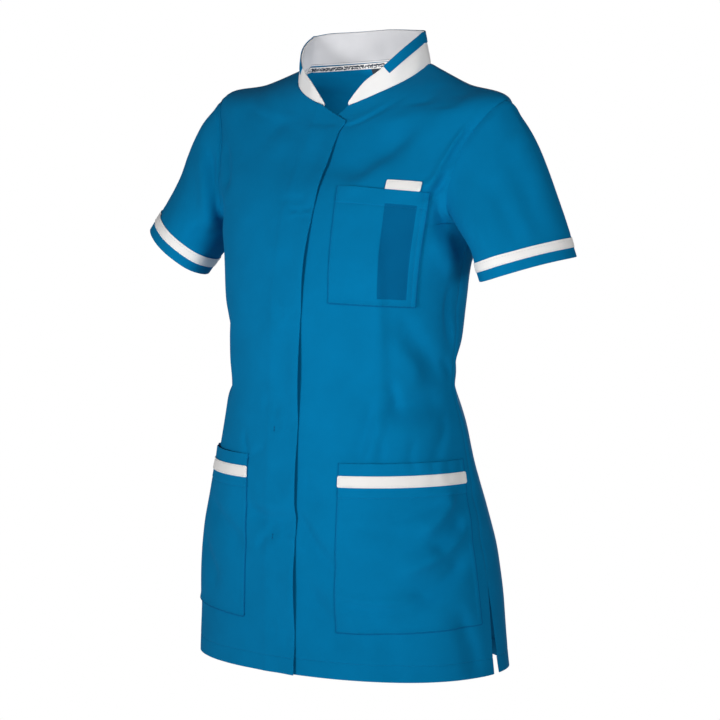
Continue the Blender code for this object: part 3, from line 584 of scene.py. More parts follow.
def borderOf(rows, columns, closed):
    # the vertices round the edge, in order; two rings where the cloth is a tube
    across = np.arange(columns)
    lastRow = (rows - 1) * columns
    if closed:
        return [across, across + lastRow]
    up = np.arange(rows) * columns
    return [np.concatenate((across[:-1], up[:-1] + columns - 1, across[:0:-1] + lastRow, up[:0:-1]))]


def facingFaces(faces, points, outward):
    # the faces, all turned over if they look against the outward directions
    a, b, c = (points[faces[:, corner]] for corner in range(3))
    facing = np.einsum("ij,ij->i", np.cross(b - a, c - a), outward).sum()
    return faces[:, ::-1] if facing < 0 else faces


def addObject(name, data):
    thing = bpy.data.objects.new(name, data)
    bpy.context.scene.collection.objects.link(thing)
    return thing


def addPiece(name, points, faces, material):
    mesh = bpy.data.meshes.new(name)
    mesh.from_pydata(points.tolist(), [], faces.tolist())
    mesh.shade_smooth()
    mesh.materials.append(material)
    piece = addObject(name, mesh)
    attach(piece, "root")
    return piece


def clothShell(name, outer, normals, thickness, cloth, material, closed=False):
    # two faces of the cloth and a rounded edge between them; cloth is the uv in metres
    rows, columns = outer.shape[:2]
    count = rows * columns
    thickness = np.broadcast_to(thickness, (rows, columns))[..., None]
    flat = outer.reshape(-1, 3)
    flatInner = (outer - normals * thickness).reshape(-1, 3)
    cloth = np.stack(np.broadcast_arrays(*cloth), axis=-1).reshape(-1, 2)
    quads = gridFaces(rows, columns, closed)
    quads = facingFaces(quads, flat, normals.reshape(-1, 3)[quads[:, 0]])
    points = [flat, flatInner]
    faces = [quads, quads[:, ::-1] + count]
    uvs = [cloth, cloth]
    total = 2 * count
    for ring in borderOf(rows, columns, closed):
        through = flat[ring] - flatInner[ring]
        outward = unit(np.cross(flat[np.roll(ring, -1)] - flat[np.roll(ring, 1)], through))
        row, column = ring // columns, ring % columns
        if not closed:
            column = np.clip(column, 1, columns - 2)
        neighbours = flat[np.clip(row, 1, rows - 2) * columns + column]
        away = np.einsum("ij,ij->i", outward, flat[ring] - neighbours)
        outward[away < 0] *= -1
        half = np.linalg.norm(through, axis=1, keepdims=True) / 2
        points.append((flat[ring] + flatInner[ring]) / 2 + outward * half * 0.55)
        uvs.append(cloth[ring])
        index = np.arange(len(ring)) + total
        total += len(ring)
        nextRing = np.roll(ring, -1)
        nextIndex = np.roll(index, -1)
        for band in ((ring, nextRing, nextIndex, index),
                     (index, nextIndex, nextRing + count, ring + count)):
            faces.append(facingFaces(np.stack(band, axis=1), np.concatenate(points), outward))
    piece = addPiece(name, posed(np.concatenate(points)), np.concatenate(faces), material)
    mesh = piece.data
    mesh.set_sharp_from_angle(angle=math.radians(62))
    layer = mesh.uv_layers.new(name="cloth")
    corners = np.empty(len(mesh.loops), int)
    mesh.loops.foreach_get("vertex_index", corners)
    layer.data.foreach_set("uv", np.concatenate(uvs)[corners].astype(np.float32).ravel())
    return piece


def gridNormals(points, outwardHint, closed=False):
    # directions square to a grid's surface, on the side of the hint
    if closed:
        around = np.roll(points, -1, axis=1) - np.roll(points, 1, axis=1)
    else:
        around = np.gradient(points, axis=1)
    normals = unit(np.cross(around, np.gradient(points, axis=0)))
    return -normals if (normals * outwardHint).sum() < 0 else normals


def hemmed(height, hem):
    # the cloth's thickness by the height above its edge: doubled in the turned hem
    return np.where(height < hem, garment["hemThickness"], garment["clothThickness"])


def pointsAt(where, places, points):
    return np.stack([np.interp(where, places, points[:, axis]) for axis in range(3)], axis=-1)


stitches = {"length": 0.0026, "gap": 0.0009, "width": 0.00042, "height": 0.00022}
stitchMeshes = {}         # by the kind of thread: its points, its faces and the number of points so far


def stitchLine(kind, line, normals, width=stitches["width"]):
    # single stitches as small lens shapes lying along a line on the cloth
    steps = np.linalg.norm(np.diff(line, axis=0), axis=1)
    along = np.concatenate(([0.0], np.cumsum(steps)))
    pitch = stitches["length"] + stitches["gap"]
    count = int(along[-1] / pitch)
    if count < 1:
        return
    starts = (np.arange(count) + 0.15) * pitch
    a = pointsAt(starts, along, line)
    b = pointsAt(starts + stitches["length"], along, line)
    up = unit(pointsAt(starts + stitches["length"] / 2, along, normals))
    side = unit(np.cross(b - a, up)) * width / 2
    middle = (a + b) / 2
    high = up * stitches["height"]
    quarter = (b - a) * 0.32
    verts = np.stack((a, b, middle - quarter + side, middle + quarter + side, middle - quarter - side,
                      middle + quarter - side, middle - quarter + high, middle + quarter + high), axis=1)
    base = np.array([(0, 2, 6), (0, 6, 4), (2, 3, 7), (2, 7, 6), (6, 7, 5), (6, 5, 4),
                     (3, 1, 7), (7, 1, 5), (0, 4, 2), (4, 5, 2), (5, 3, 2), (5, 1, 3)])
    faces = (base[None] + (np.arange(count) * 8)[:, None, None]).reshape(-1, 3)
    store = stitchMeshes.setdefault(kind, [[], [], 0])
    store[0].append(posed(verts.reshape(-1, 3)))
    store[1].append(faces + store[2])
    store[2] += count * 8


def finishStitches(kind, name, material):
    points, faces = stitchMeshes[kind][:2]
    addPiece(name, np.concatenate(points), np.concatenate(faces), material)


def finely(start, end, step, lines=(), fine=0.0006, reach=0.0030):
    # places from start to end, closer together round each stitched line
    places = list(np.linspace(start, end, max(2, int(round(abs(end - start) / step)) + 1)))
    for line in lines:
        places += [line + fine * k for k in range(-int(reach / fine), int(reach / fine) + 1)]
    places = sorted(p for p in places if min(start, end) - 1e-9 <= p <= max(start, end) + 1e-9)
    kept = [places[0]]
    for place in places[1:]:
        if place - kept[-1] > fine * 0.5:
            kept.append(place)
    kept[-1] = max(start, end)
    return np.array(kept)


# The two fronts: the wearer's right one laps over the left one.
panels = {
    "rowStep": 0.0050,
    "armholeRows": 57,
    "shoulderRows": 28,
    "lapColumns": 0.030,      # up to here the front's columns run straight up, beside the lap
    "lapStep": 0.0032,
    "frontColumns": 52,       # between those and the seam
    "backColumns": 108,
    "edgePlaces": (0.0, 0.0006, 0.0013, 0.0022, 0.0034, 0.0050, 0.0070, 0.0095),
}


def panelStations():
    below = finely(0.0, underarm, panels["rowStep"], (garment["hemWidth"],))
    turn = np.linspace(0, math.pi, panels["armholeRows"])
    beside = underarm + (tip - underarm) * (1 - np.cos(turn)) / 2
    above = np.linspace(tip, neck, panels["shoulderRows"])
    edge = neck - np.array((0.0005, 0.0012, 0.0022))
    rows = np.concatenate((below, beside[1:], above[1:], edge, (0.0006, 0.0012, 0.002)))
    rows = np.unique(np.round(rows, 6))
    return rows[np.concatenate(([True], np.diff(rows) > 0.0003))]


def frontAcross(stations):
    # across of each column, the same count in every row: fixed places by the lap, then shares of the
    # rest, then fixed places by the seam
    lap, start = garment["lap"], panels["lapColumns"]
    inner = finely(-lap, start, panels["lapStep"], (-lap, placket["tackAcross"], lap), reach=0.0024)
    places = np.array(panels["edgePlaces"])[::-1]
    rows = []
    for end in panelEdge("front", stations):
        middle = np.linspace(start, end - places[0], panels["frontColumns"] + 2)[1:-1]
        rows.append(np.concatenate((inner, middle, end - places)))
    return np.array(rows)


def frontStation(side, across, stations):
    # the neckline falls away toward the lap, and the rows below it follow
    station = np.broadcast_to(stations[:, None], across.shape)
    places, falls = np.array(garment["neckDrops"]["left" if side > 0 else "right"]).T
    drop = np.interp(across, places, falls) * (station - tip) / (neck - tip)
    return np.where(station > tip, station - drop, station)


def frontLift(side, upper, across, station, row):
    # across grows toward the panel's own side
    lift = bodyLift("front", side * across, station) + edgeRelief("front", across, station, row)
    if upper:
        facing = 1 - easeInOut((across - placket["facingEdge"]) / placket["facingFade"])
        lift = lift + lapRise(across) + studLift(across, station) + placket["facingStep"] * facing
    return lift


def frontPoints(side, upper, across, station, extra=0.0):
    # places on the outside of a front, lifted by extra, and its outward directions there
    lift = frontLift(side, upper, across, station, station) + extra
    normal = bodyNormal("front", side * across, station)
    return bodyAt("front", side * across, station) + normal * lift[..., None], normal


def makeFront(name, side, upper):
    stations = panelStations()
    across = frontAcross(stations)
    row = np.broadcast_to(stations[:, None], across.shape)
    if upper:
        reach = easeInOut((row - garment["neckLapFrom"]) / garment["neckLapFade"])
        across = across - garment["neckLapOut"] * reach * np.clip(-across / garment["lap"], 0.0, 1.0)
    station = frontStation(side, across, stations)
    lift = frontLift(side, upper, across, station, row)
    normal = bodyNormal("front", side * across, station)
    outer = bodyAt("front", side * across, station) + normal * lift[..., None]
    thick = hemmed(station, garment["hemWidth"])
    if upper:
        thick = np.where(across < placket["facingEdge"], garment["facingThickness"], thick)
    piece = clothShell(name + "_cloth", outer, gridNormals(outer, normal), thick,
                       (side * across, station), twillBlue)
    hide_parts(name)
    return piece


frontRight = makeFront("front_right", -1.0, True)
frontLeft = makeFront("front_left", 1.0, False)


def sewEdges(half, points, hemStart, sides):
    # the hem's stitching, and the vents' on the given sides
    hem = np.arange(hemStart, float(panelEdge(half, garment["hemWidth"])) - 0.001, 0.002)
    stitchLine("blue", *points(hem, np.full_like(hem, garment["hemWidth"])))
    up = np.arange(0.003, garment["ventLength"], 0.002)
    for side in sides:
        stitchLine("blue", *points(side * (panelEdge(half, up) - garment["ventStitch"]), up))


def sewFront(side, upper):
    def points(across, station):
        return frontPoints(side, upper, across, station)

    sewEdges("front", points, -garment["lap"] + 0.002, (1.0,))
    if upper:
        for station in placket["tackStations"]:
            # bar tacks where the fly is caught down, each of three rows of stitches
            up = np.arange(station - placket["tackHalf"], station + placket["tackHalf"] + 0.0003, 0.001)
            for shift in (-0.0005, 0.0, 0.0005):
                stitchLine("deep", *points(np.full_like(up, placket["tackAcross"] + shift), up))


sewFront(-1.0, True)
sewFront(1.0, False)
print("fronts made")


# The back, in one panel from side seam to side seam.
def backLift(across, station):
    return bodyLift("back", across, station) + edgeRelief("back", across, station, station)


def backPoints(across, station):
    normal = bodyNormal("back", across, station)
    return bodyAt("back", across, station) + normal * backLift(across, station)[..., None], normal


def makeBack():
    stations = panelStations()
    places = np.array(panels["edgePlaces"])
    rows = []
    for end in panelEdge("back", stations):
        middle = np.linspace(-end + places[-1], end - places[-1], panels["backColumns"] + 2)[1:-1]
        rows.append(np.concatenate((-end + places, middle, (end - places)[::-1])))
    across = np.array(rows)
    station = np.broadcast_to(stations[:, None], across.shape)
    outer, normal = backPoints(across, station)
    return clothShell("back_cloth", outer, gridNormals(outer, normal), hemmed(station, garment["hemWidth"]),
                      (across, station), twillBlue)


back = makeBack()
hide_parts("back")
sewEdges("back", backPoints, -float(panelEdge("back", garment["hemWidth"])) + 0.001, (-1.0, 1.0))
print("back made")


# The sleeves run from the armholes to their own slanting hems.
sleeves = {
    # side, the hem ring's centre and slopes, the way down that the sleeve leans, how far it puffs out
    # from the armhole, the roll at its head (height, place, width), how high the seam's allowance
    # stands in front, and the seed of its slack
    "right": {"side": -1.0, "centre": (0.2690, -0.0545, -0.2425), "outSlope": 0.630,
              "backSlope": -0.170, "arch": 0.0, "leanOut": 0.72, "leanBack": -0.15, "puff": 0.12,
              "headRoll": (0.0008, 0.0090, 0.0070), "allowance": 0.0008, "seed": 22},
    "left": {"side": 1.0, "centre": (0.2665, -0.0545, -0.2545), "outSlope": 0.216,
             "backSlope": 0.150, "arch": 0.0035, "leanOut": 0.42, "leanBack": 0.0, "puff": 0.55,
             "headRoll": (0.0021, 0.0085, 0.0085), "allowance": 0.0, "seed": 21},
    "hemLong": 0.0594, "hemShort": 0.0395, "hemTurn": math.radians(45),     # the hem ring's ellipse
    "rise": 0.60,             # how much of the puff goes upward
    "girth": 0.40,            # measured round the cloth
    "hemStitch": 0.0275,      # the hem is stitched this far up, just above the band
    "bandAbove": 0.013, "bandWidth": 0.012, "bandGirth": 0.33, "bandThickness": 0.0007,
    "bandRows": (-16, -6),    # the grid rows that the band covers, and the band's rows that are stitched
    "bandStitches": (3, -4),
    "armholeTuck": 0.0010,    # its edge starts this far under the body's
    "slackWaves": 6, "slackHeight": 0.0004,
    # the grid, with rows close together at the armhole, then round the band's edges and stitches,
    # as distances from the armhole and from the band's top
    "columns": 76, "rows": 46,
    "topPlaces": (0.0, 0.0008, 0.0018, 0.0030, 0.0045, 0.0065, 0.0090),
    "bandPlaces": (-0.0012, -0.0006, 0.0, 0.0005, 0.0012, 0.003, 0.006, 0.009, 0.0108, 0.0115,
                   0.012, 0.0126, 0.0135, 0.016, 0.019, 0.022, 0.0242, 0.025),
}
# around is the share of the way round from the shoulder tip by the front, down is metres from the seam
sleeveFoldColumns = ("sleeve", "around0", "down0", "around1", "down1", "width", "height", "bow")
sleeveFolds = {
    "rightDrag":        ("right", 0.150, 0.034, 0.450, 0.004, 0.0085, -0.0052, -0.005),
    "rightDragRidge":   ("right", 0.130, 0.050, 0.400, 0.026, 0.0120, 0.0034, -0.004),
    "rightOuterTrough": ("right", 0.060, 0.080, 0.120, 0.165, 0.0150, -0.0031, 0.004),
    "rightOuterRidge":  ("right", 0.960, 0.030, 0.940, 0.160, 0.0160, 0.0025, -0.004),
    "leftOuterTrough":  ("left", 0.070, 0.030, 0.100, 0.170, 0.0150, -0.0031, 0.004),
    "leftMiddleTrough": ("left", 0.180, 0.060, 0.200, 0.150, 0.0130, -0.0025, 0.003),
    "leftFrontSwell":   ("left", 0.330, 0.030, 0.300, 0.140, 0.0140, 0.0022, 0.003),
    "leftHeadShade":    ("left", 0.010, 0.004, 0.040, 0.045, 0.0120, -0.0031, 0.002),
    "rightOuterFill":   ("right", 0.020, 0.028, 0.020, 0.110, 0.0300, 0.0030, 0.000),
    "rightInnerFill":   ("right", 0.440, 0.030, 0.420, 0.150, 0.0170, 0.0056, 0.000),
    "rightUnderDrag":   ("right", 0.460, 0.006, 0.360, 0.060, 0.0090, -0.0034, 0.004),
    "leftUnderDrag":    ("left", 0.460, 0.006, 0.400, 0.060, 0.0090, -0.0031, 0.004),
    "rightBackDrag":    ("right", 0.600, 0.004, 0.740, 0.080, 0.0110, -0.0042, -0.005),
    "leftBackDrag":     ("left", 0.620, 0.004, 0.760, 0.070, 0.0120, -0.0045, -0.004),
    "rightBackRidge":   ("right", 0.660, 0.004, 0.800, 0.070, 0.0120, 0.0031, -0.003),
    "leftBackRidge":    ("left", 0.680, 0.006, 0.820, 0.080, 0.0110, 0.0028, -0.003),
    "rightBackTrough":  ("right", 0.860, 0.030, 0.840, 0.150, 0.0140, -0.0034, 0.004),
    "leftBackTrough":   ("left", 0.870, 0.030, 0.860, 0.160, 0.0150, -0.0031, 0.004),
}


def armholeLoop():
    # stations down the front of the armhole from the shoulder tip, and up its back again
    count = sleeves["columns"] // 2
    stations = underarm + (tip - underarm) * (1 - np.cos(np.pi * np.arange(count + 1) / count)) / 2
    return stations[::-1], stations[1:-1]


def armholeStarts(spec):
    # the points a sleeve starts from, its direction at each of them, and the way that it hangs
    starts, leavings = [], []
    down = unit(np.array((spec["leanOut"], spec["leanBack"], -1.0)))
    for half, stations in zip(("front", "back"), armholeLoop()):
        across = seamDistance(half, stations)
        normal = bodyNormal(half, across, stations)
        starts.append(bodyAt(half, across, stations))
        leavings.append(unit(down + normal * spec["puff"] * np.array((1.0, 1.0, sleeves["rise"]))))
    return np.concatenate(starts), np.concatenate(leavings), down


def sharesAlong(points):
    along = np.concatenate(([0.0], np.cumsum(np.linalg.norm(np.diff(points, axis=0), axis=1))))
    return along / along[-1]


def sleeveHem(spec, shares):
    turns = sleeves["hemTurn"] - np.linspace(0.0, 2 * math.pi, 361)
    longWay = sleeves["hemLong"] * np.cos(turns)
    shortWay = sleeves["hemShort"] * np.sin(turns)
    x = longWay * math.cos(sleeves["hemTurn"]) - shortWay * math.sin(sleeves["hemTurn"])
    y = longWay * math.sin(sleeves["hemTurn"]) + shortWay * math.cos(sleeves["hemTurn"])
    z = spec["outSlope"] * x + spec["backSlope"] * y + spec["arch"] * np.sin(turns) ** 2
    ring = np.stack((x, y, z), axis=-1)
    outermost = int(np.argmax(x[:-1]))
    ring = np.concatenate((ring[outermost:-1], ring[:outermost + 1]))
    return pointsAt(shares, sharesAlong(ring), ring) + np.array(spec["centre"])


def sleeveSurface(spec):
    # rows of points from armhole to hem, each one's distances from both, and its share of the way round
    start, leaving, down = armholeStarts(spec)
    start = start - leaving * sleeves["armholeTuck"]
    count = sleeves["columns"] // 2
    frontShares = sharesAlong(start[:count + 1]) / 2
    backShares = 0.5 + sharesAlong(np.concatenate((start[count:], start[:1]))) / 2
    shares = np.concatenate((frontShares, backShares[1:-1]))
    end = sleeveHem(spec, shares)
    length = np.linalg.norm(end - start, axis=1, keepdims=True)
    bandTop = sleeves["bandAbove"] + sleeves["bandWidth"]
    near = np.array(sleeves["topPlaces"]) / length.mean()
    upper = np.concatenate((near, np.linspace(near[-1], 1.0, sleeves["rows"])[1:]))
    ways = [(1 - (bandTop + 0.002) / length) * u for u in upper]
    ways += [1 - (bandTop - place) / length for place in sleeves["bandPlaces"]]
    rows = np.array([curveBetween(start, end, leaving * length, down * length, t) for t in ways])
    fromTop = np.array([(t * length)[:, 0] for t in ways])
    toHem = length[:, 0] - fromTop
    return rows, fromTop, toHem, np.broadcast_to(shares, fromTop.shape)


def sleeveLift(which, fromTop, toHem, shares):
    spec, girth = sleeves[which], sleeves["girth"]
    lift = np.zeros_like(fromTop)
    for row in sleeveFolds.values():
        fold = dict(zip(sleeveFoldColumns, row))
        if fold["sleeve"] != which:
            continue
        away = (shares - fold["around0"] + 0.5) % 1.0 - 0.5
        t, off = foldPlace(away * girth, fromTop - fold["down0"],
                           (fold["around1"] - fold["around0"]) * girth, fold["down1"] - fold["down0"],
                           fold["bow"])
        lift = lift + fold["height"] * np.exp(-(off / fold["width"]) ** 2 - foldEnd(t))
    waves = np.random.default_rng(spec["seed"])
    for _ in range(sleeves["slackWaves"]):
        turns = waves.integers(1, 4)
        phase = waves.uniform(0, 2 * math.pi)
        way = turns * shares + fromTop * waves.uniform(-9, 9)
        lift = lift + sleeves["slackHeight"] * np.sin(2 * math.pi * way + phase)
    # the seam holds the top, and the hem keeps a third of the folds
    lift = lift * easeInOut(fromTop / 0.012) * (0.35 + 0.65 * easeInOut(toHem / 0.035))
    # the seam's allowance stands up along the front of the armhole, with a hollow beside it
    front = easeInOut((0.44 - np.abs(shares - 0.22)) / 0.22)
    ridge = bump(fromTop - 0.0012, 0.0016) - 1.3 * bump(fromTop - 0.0052, 0.0022)
    lift = lift + spec["allowance"] * front * ridge + 0.0003 * bump(fromTop, 0.0030)
    # the head is eased in, so it rises in a soft roll just past the armhole seam
    head = 1 - easeInOut(np.abs((shares + 0.5) % 1.0 - 0.5) / 0.30)
    height, place, width = spec["headRoll"]
    lift = lift + height * head * bump(fromTop - place, width)
    return lift + stitchGroove(toHem - sleeves["hemStitch"], 0.0002)


def makeSleeve(which):
    spec = sleeves[which]
    rows, fromTop, toHem, shares = sleeveSurface(spec)
    outward = rows - rows.mean(axis=1, keepdims=True)
    lift = sleeveLift(which, fromTop, toHem, shares)
    outer = rows + gridNormals(rows, outward, closed=True) * lift[..., None]
    normals = gridNormals(outer, outward, closed=True)
    flip = np.array((spec["side"], 1.0, 1.0))
    piece = clothShell("sleeve_" + which + "_cloth", outer * flip, normals * flip,
                       hemmed(toHem, sleeves["hemStitch"] + 0.0001),
                       (shares * sleeves["girth"], -fromTop), twillBlue, closed=True)
    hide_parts("sleeve_" + which)
    # the white band sewn on above the hem, drawn in along its two lines of stitches
    covered = slice(*sleeves["bandRows"])
    down = fromTop[covered] - fromTop[covered][0]
    edge = np.minimum(down, down[-1] - down)
    raised = 0.00095 - 0.00025 * bump(edge - 0.0014, 0.0007)
    bandNormals = normals[covered] * flip
    band = outer[covered] * flip + bandNormals * raised[..., None]
    tape = clothShell("sleeve_band_" + which + "_cloth", band, bandNormals, sleeves["bandThickness"],
                      (shares[covered] * sleeves["bandGirth"], -down), twillWhite, closed=True)
    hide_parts("sleeve_band_" + which)
    for number in sleeves["bandStitches"]:
        stitchLine("white", *(np.concatenate((grid[number], grid[number][:1]))
                              for grid in (band, bandNormals)))


makeSleeve("right")
makeSleeve("left")
print("sleeves made")


# The stand collar: white, with a band of the body's cloth along its outer top edge.
collar = {
    # height by the distance along the neck seam from either front end
    "heights": ((0.000, 0.0035), (0.010, 0.0115), (0.022, 0.0190), (0.043, 0.0250), (0.080, 0.0360),
                (0.110, 0.0390), (0.190, 0.0395)),
    "dips": (0.0022, 0.0010),           # how much lower it is over the right shoulder and the left
    "dipAlong": 0.117, "dipWidth": 0.015,
    "leanLeft": 0.010,                  # how far its top leans in at the sides of the neck
    "leanRight": 0.0065,
    "centre": (0.0, -0.017, 0.0),       # its outside looks away from here
    "thickness": 0.0018,
    "slackWaves": 8, "slackHeight": 0.00022, "seed": 5,
    "trimWidth": 0.0125,
    "trimStart": 0.0503,                # the trim stops this far short of the front ends, at a slant
    "trimSlant": 0.0059,
    "trimAbove": 0.0007,                # and stands this much over the collar's top edge
    "trimThickness": 0.0009,
    "overlockBand": (0.0006, 0.0175),   # stations below the neckline
    "overlockEnds": 0.060,
    "overlockPitch": 0.0017,
    "overlockWidth": 0.0013,
    "overlockMissing": 0.10,            # share of its threads left out, at random
}
napeHeight = collar["heights"][-1][1]
frontNeck = float(ringLength("front", neck)) - garment["lap"]
backNeck = float(ringLength("back", neck))
collarTotal = 2 * (frontNeck + backNeck)


def neckPoints(along, drop=0.0):
    # places round the neckline from the right front by the back to the left front
    along, drop = np.broadcast_arrays(np.asarray(along, float), np.asarray(drop, float))
    right = bodyAt("front", -(garment["lap"] + along), neck - drop)
    left = bodyAt("front", garment["lap"] + collarTotal - along, neck - drop)
    behind = bodyAt("back", np.clip(along - frontNeck - backNeck, -backNeck, backNeck), neck - drop)
    place = np.where((along < frontNeck)[..., None], right, behind)
    return np.where((along > collarTotal - frontNeck)[..., None], left, place)


def collarPoints(along, height):
    base = neckPoints(along)
    lean = np.where(base[..., 0] < 0, collar["leanRight"], collar["leanLeft"])
    base[..., 0] -= lean * base[..., 0] / sections["neck"][1] * height / napeHeight
    base[..., 2] += height + 0.0001
    return base


def collarHeight(along):
    table = np.array(collar["heights"])
    height = smoothCurve(table[:, 0], table[:, 1], np.minimum(along, collarTotal - along))
    for dip, fromEnd in zip(collar["dips"], (along, collarTotal - along)):
        height = height - dip * bump(fromEnd - collar["dipAlong"], collar["dipWidth"])
    return height


def collarOutward(points):
    away = points - np.array(collar["centre"])
    away[..., 2] = 0.0
    return unit(away)


def makeCollar():
    ends = np.array(panels["edgePlaces"][:7])
    places = np.concatenate((ends, np.linspace(0.009, collarTotal - 0.009, 190), collarTotal - ends[::-1]))
    shares = np.concatenate((np.linspace(0, 0.1, 4), np.linspace(0.18, 0.9, 11), (0.94, 0.97, 0.985, 1.0)))
    along, share = np.meshgrid(places, shares)
    height = collarHeight(along) * share
    outer = collarPoints(along, height)
    normals = gridNormals(outer, collarOutward(outer))
    toTop = collarHeight(along) - height
    toEnd = np.minimum(along, collarTotal - along)
    waves = np.random.default_rng(collar["seed"])
    lift = np.zeros_like(height)
    for _ in range(collar["slackWaves"]):
        phase = waves.uniform(0, 2 * math.pi)
        way = along / waves.uniform(0.03, 0.09) + height / waves.uniform(0.05, 0.2)
        lift = lift + collar["slackHeight"] * np.sin(2 * math.pi * way + phase)
    lift = lift * easeInOut(height / 0.006) * easeInOut(toTop / 0.004)
    lift = lift - 0.0005 * bump(height, 0.0012)          # the seam to the neck draws it in
    lift = lift - 0.0002 * bump(toTop - 0.0030, 0.0008) * (toEnd < collar["trimStart"])
    outer = outer + normals * lift[..., None]
    normals = gridNormals(outer, collarOutward(outer))
    piece = clothShell("collar_cloth", outer, normals, collar["thickness"], (along, height), twillWhite)
    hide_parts("collar")
    # painted shade: its inside gets a grey copy of the white cloth
    piece.data.materials.append(twillWhitePaintedShade)
    half = (len(shares) - 1) * (len(places) - 1)
    for face in piece.data.polygons[half:2 * half]:
        face.material_index = 1
    # stitching on its inside, just above the neck seam
    line = collarPoints(places[20:-20], np.full(len(places) - 40, 0.0016))
    inward = -collarOutward(line)
    stitchLine("navy", line + inward * (collar["thickness"] + 0.0002), inward)


def makeCollarTrim():
    across = np.concatenate(((0.0, 0.002, 0.005, 0.010), np.linspace(0.016, 0.984, 170),
                             (0.990, 0.995, 0.998, 1.0)))
    down = np.array((0.0, 0.03, 0.07, 0.14, 0.25, 0.4, 0.55, 0.7, 0.8, 0.86, 0.90, 0.94, 0.97, 1.0))
    across, down = np.meshgrid(across, down)
    first = collar["trimStart"] + collar["trimSlant"] * down
    along = first + (collarTotal - 2 * first) * across
    below = collar["trimWidth"] * (1 - down)
    height = collarHeight(along) - collar["trimWidth"] * down + collar["trimAbove"] * (1 - down)
    base = collarPoints(along, height)
    normals = gridNormals(base, collarOutward(base))
    lift = 0.0012 - 0.0003 * bump(below - 0.0015, 0.0007) - 0.0002 * bump(below, 0.0006)
    outer = base + normals * lift[..., None]
    piece = clothShell("collar_trim_cloth", outer, normals, collar["trimThickness"],
                       (along, -down * collar["trimWidth"]), twillBlue)
    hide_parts("collar_trim")
    stitchLine("blue", outer[9], normals[9])


def makeOverlock():
    # the neck seam's turned edge, bound over with thread, shows inside the back neck
    top, bottom = collar["overlockBand"]
    first, last = collar["overlockEnds"], collarTotal - collar["overlockEnds"]
    along, down = np.meshgrid(np.linspace(first, last, 150), np.linspace(top, bottom, 6))
    rows, columns = along.shape
    line = neckPoints(along, down)
    inward = -gridNormals(line, collarOutward(line))
    outer = line + inward * 0.0030
    clothShell("neck_overlock_band", outer, inward, 0.0008, (along, -down), twillWhite)

    def onBand(place, drop):
        column = (place - first) / (last - first) * (columns - 1)
        row = (drop - top) / (bottom - top) * (rows - 1)
        i, j = np.clip(row.astype(int), 0, rows - 2), np.clip(column.astype(int), 0, columns - 2)
        v, u = (row - i)[:, None], (column - j)[:, None]
        points, normals = ((grid[i, j] * (1 - u) + grid[i, j + 1] * u) * (1 - v)
                           + (grid[i + 1, j] * (1 - u) + grid[i + 1, j + 1] * u) * v
                           for grid in (outer, inward))
        return points + normals * 0.00015, normals

    zigzag = np.random.default_rng(3)
    for place in np.arange(first + 0.004, last - 0.004, collar["overlockPitch"]):
        for sign in (0.0, 1.0):
            if zigzag.uniform() < collar["overlockMissing"]:
                continue
            lean = 0.0030 + zigzag.uniform(-0.0006, 0.0006)
            high, low = top + zigzag.uniform(0.0, 0.004), bottom - zigzag.uniform(0.0, 0.003)
            run = np.linspace(0, 1, 7)
            stitchLine("navy", *onBand(place + lean * (sign + (1 - 2 * sign) * run),
                                       high + (low - high) * run), collar["overlockWidth"])


makeCollar()
makeCollarTrim()
makeOverlock()
print("collar made")


# Patches on the fronts. inner and outer are distances from the middle, top and bottom are stations.
patchColumns = ("side", "innerTop", "outerTop", "innerBottom", "outerBottom",
                "topInner", "topOuter", "bottomInner", "bottomOuter")
pockets = {
    "chest_pocket": (1.0, 0.046, 0.168, 0.055, 0.164, 0.6180, 0.6000, 0.4550, 0.4500),
    "pocket_left":  (1.0, 0.075, 0.242, 0.073, 0.268, 0.2620, 0.2620, 0.0550, 0.0630),
    "pocket_right": (-1.0, 0.061, 0.228, 0.062, 0.257, 0.2650, 0.2650, 0.0620, 0.0690),
}
patches = {name: dict(zip(patchColumns, row)) for name, row in pockets.items()}
pocketCloth = {
    "thickness": 0.0011,
    "above": 0.00012,          # air under the stitched edge
    "fullness": 0.0014,        # how far its middle stands off the front
    # how far the top edge gapes in the middle, and how far the outer side edge stands off besides
    "mouths": {"chest_pocket": 0.0013, "pocket_left": 0.0013, "pocket_right": 0.0005},
    "outerEdges": {"chest_pocket": 0.0010, "pocket_left": 0.0010, "pocket_right": 0.0003},
    "paintedEdgeShadeWidth": 0.0011,     # width of the band along the turned-in edges that gets painted shade
    "edgeStitch": 0.0016,
    "secondStitch": 0.0070,    # a second line beside it on the chest pocket's outer side
    "stitchSteps": 0.002,
    "hems": {"chest_pocket": 0.025, "pocket_left": 0.041, "pocket_right": 0.041},
    "cornerRounds": {"chest_pocket": 0.003, "pocket_left": 0.004, "pocket_right": 0.004},
    "step": 0.0036,
    # short upright wrinkles in the mouth's hem: share of the width, width and height
    "mouthPuckers": ((0.44, 0.016, -0.0006), (0.55, 0.014, -0.0009), (0.60, 0.013, 0.0007),
                     (0.69, 0.015, -0.0012), (0.76, 0.014, 0.0008), (0.83, 0.016, -0.0012),
                     (0.91, 0.016, 0.0007)),
}
# the pen section, sunk a little and given painted shade; from and to are shares of the pocket's width
penSection = {"from": 0.56, "to": 0.885, "top": 0.021, "bottom": 0.147, "sink": 0.0005}
strips = {
    # pocket, from and to as shares of its width, top and bottom below its top edge, corner's radius
    # and how far in its corners are stitched
    "chest_tab":          ("chest_pocket", 0.53, 0.89, -0.0145, -0.0004, 0.0016, 0.0022),
    "pocket_strip_left":  ("pocket_left", 0.00, 1.00, 0.0152, 0.0290, 0.0020, 0.0015),
    "pocket_strip_right": ("pocket_right", 0.00, 1.00, 0.0152, 0.0290, 0.0020, 0.0015),
}
stripCloth = {"thickness": 0.0009, "above": 0.0010, "edgeStitch": 0.0015}
tabLift = {"above": 0.0015, "arch": 0.0008}     # the tab clears the seam under it and arches up a little


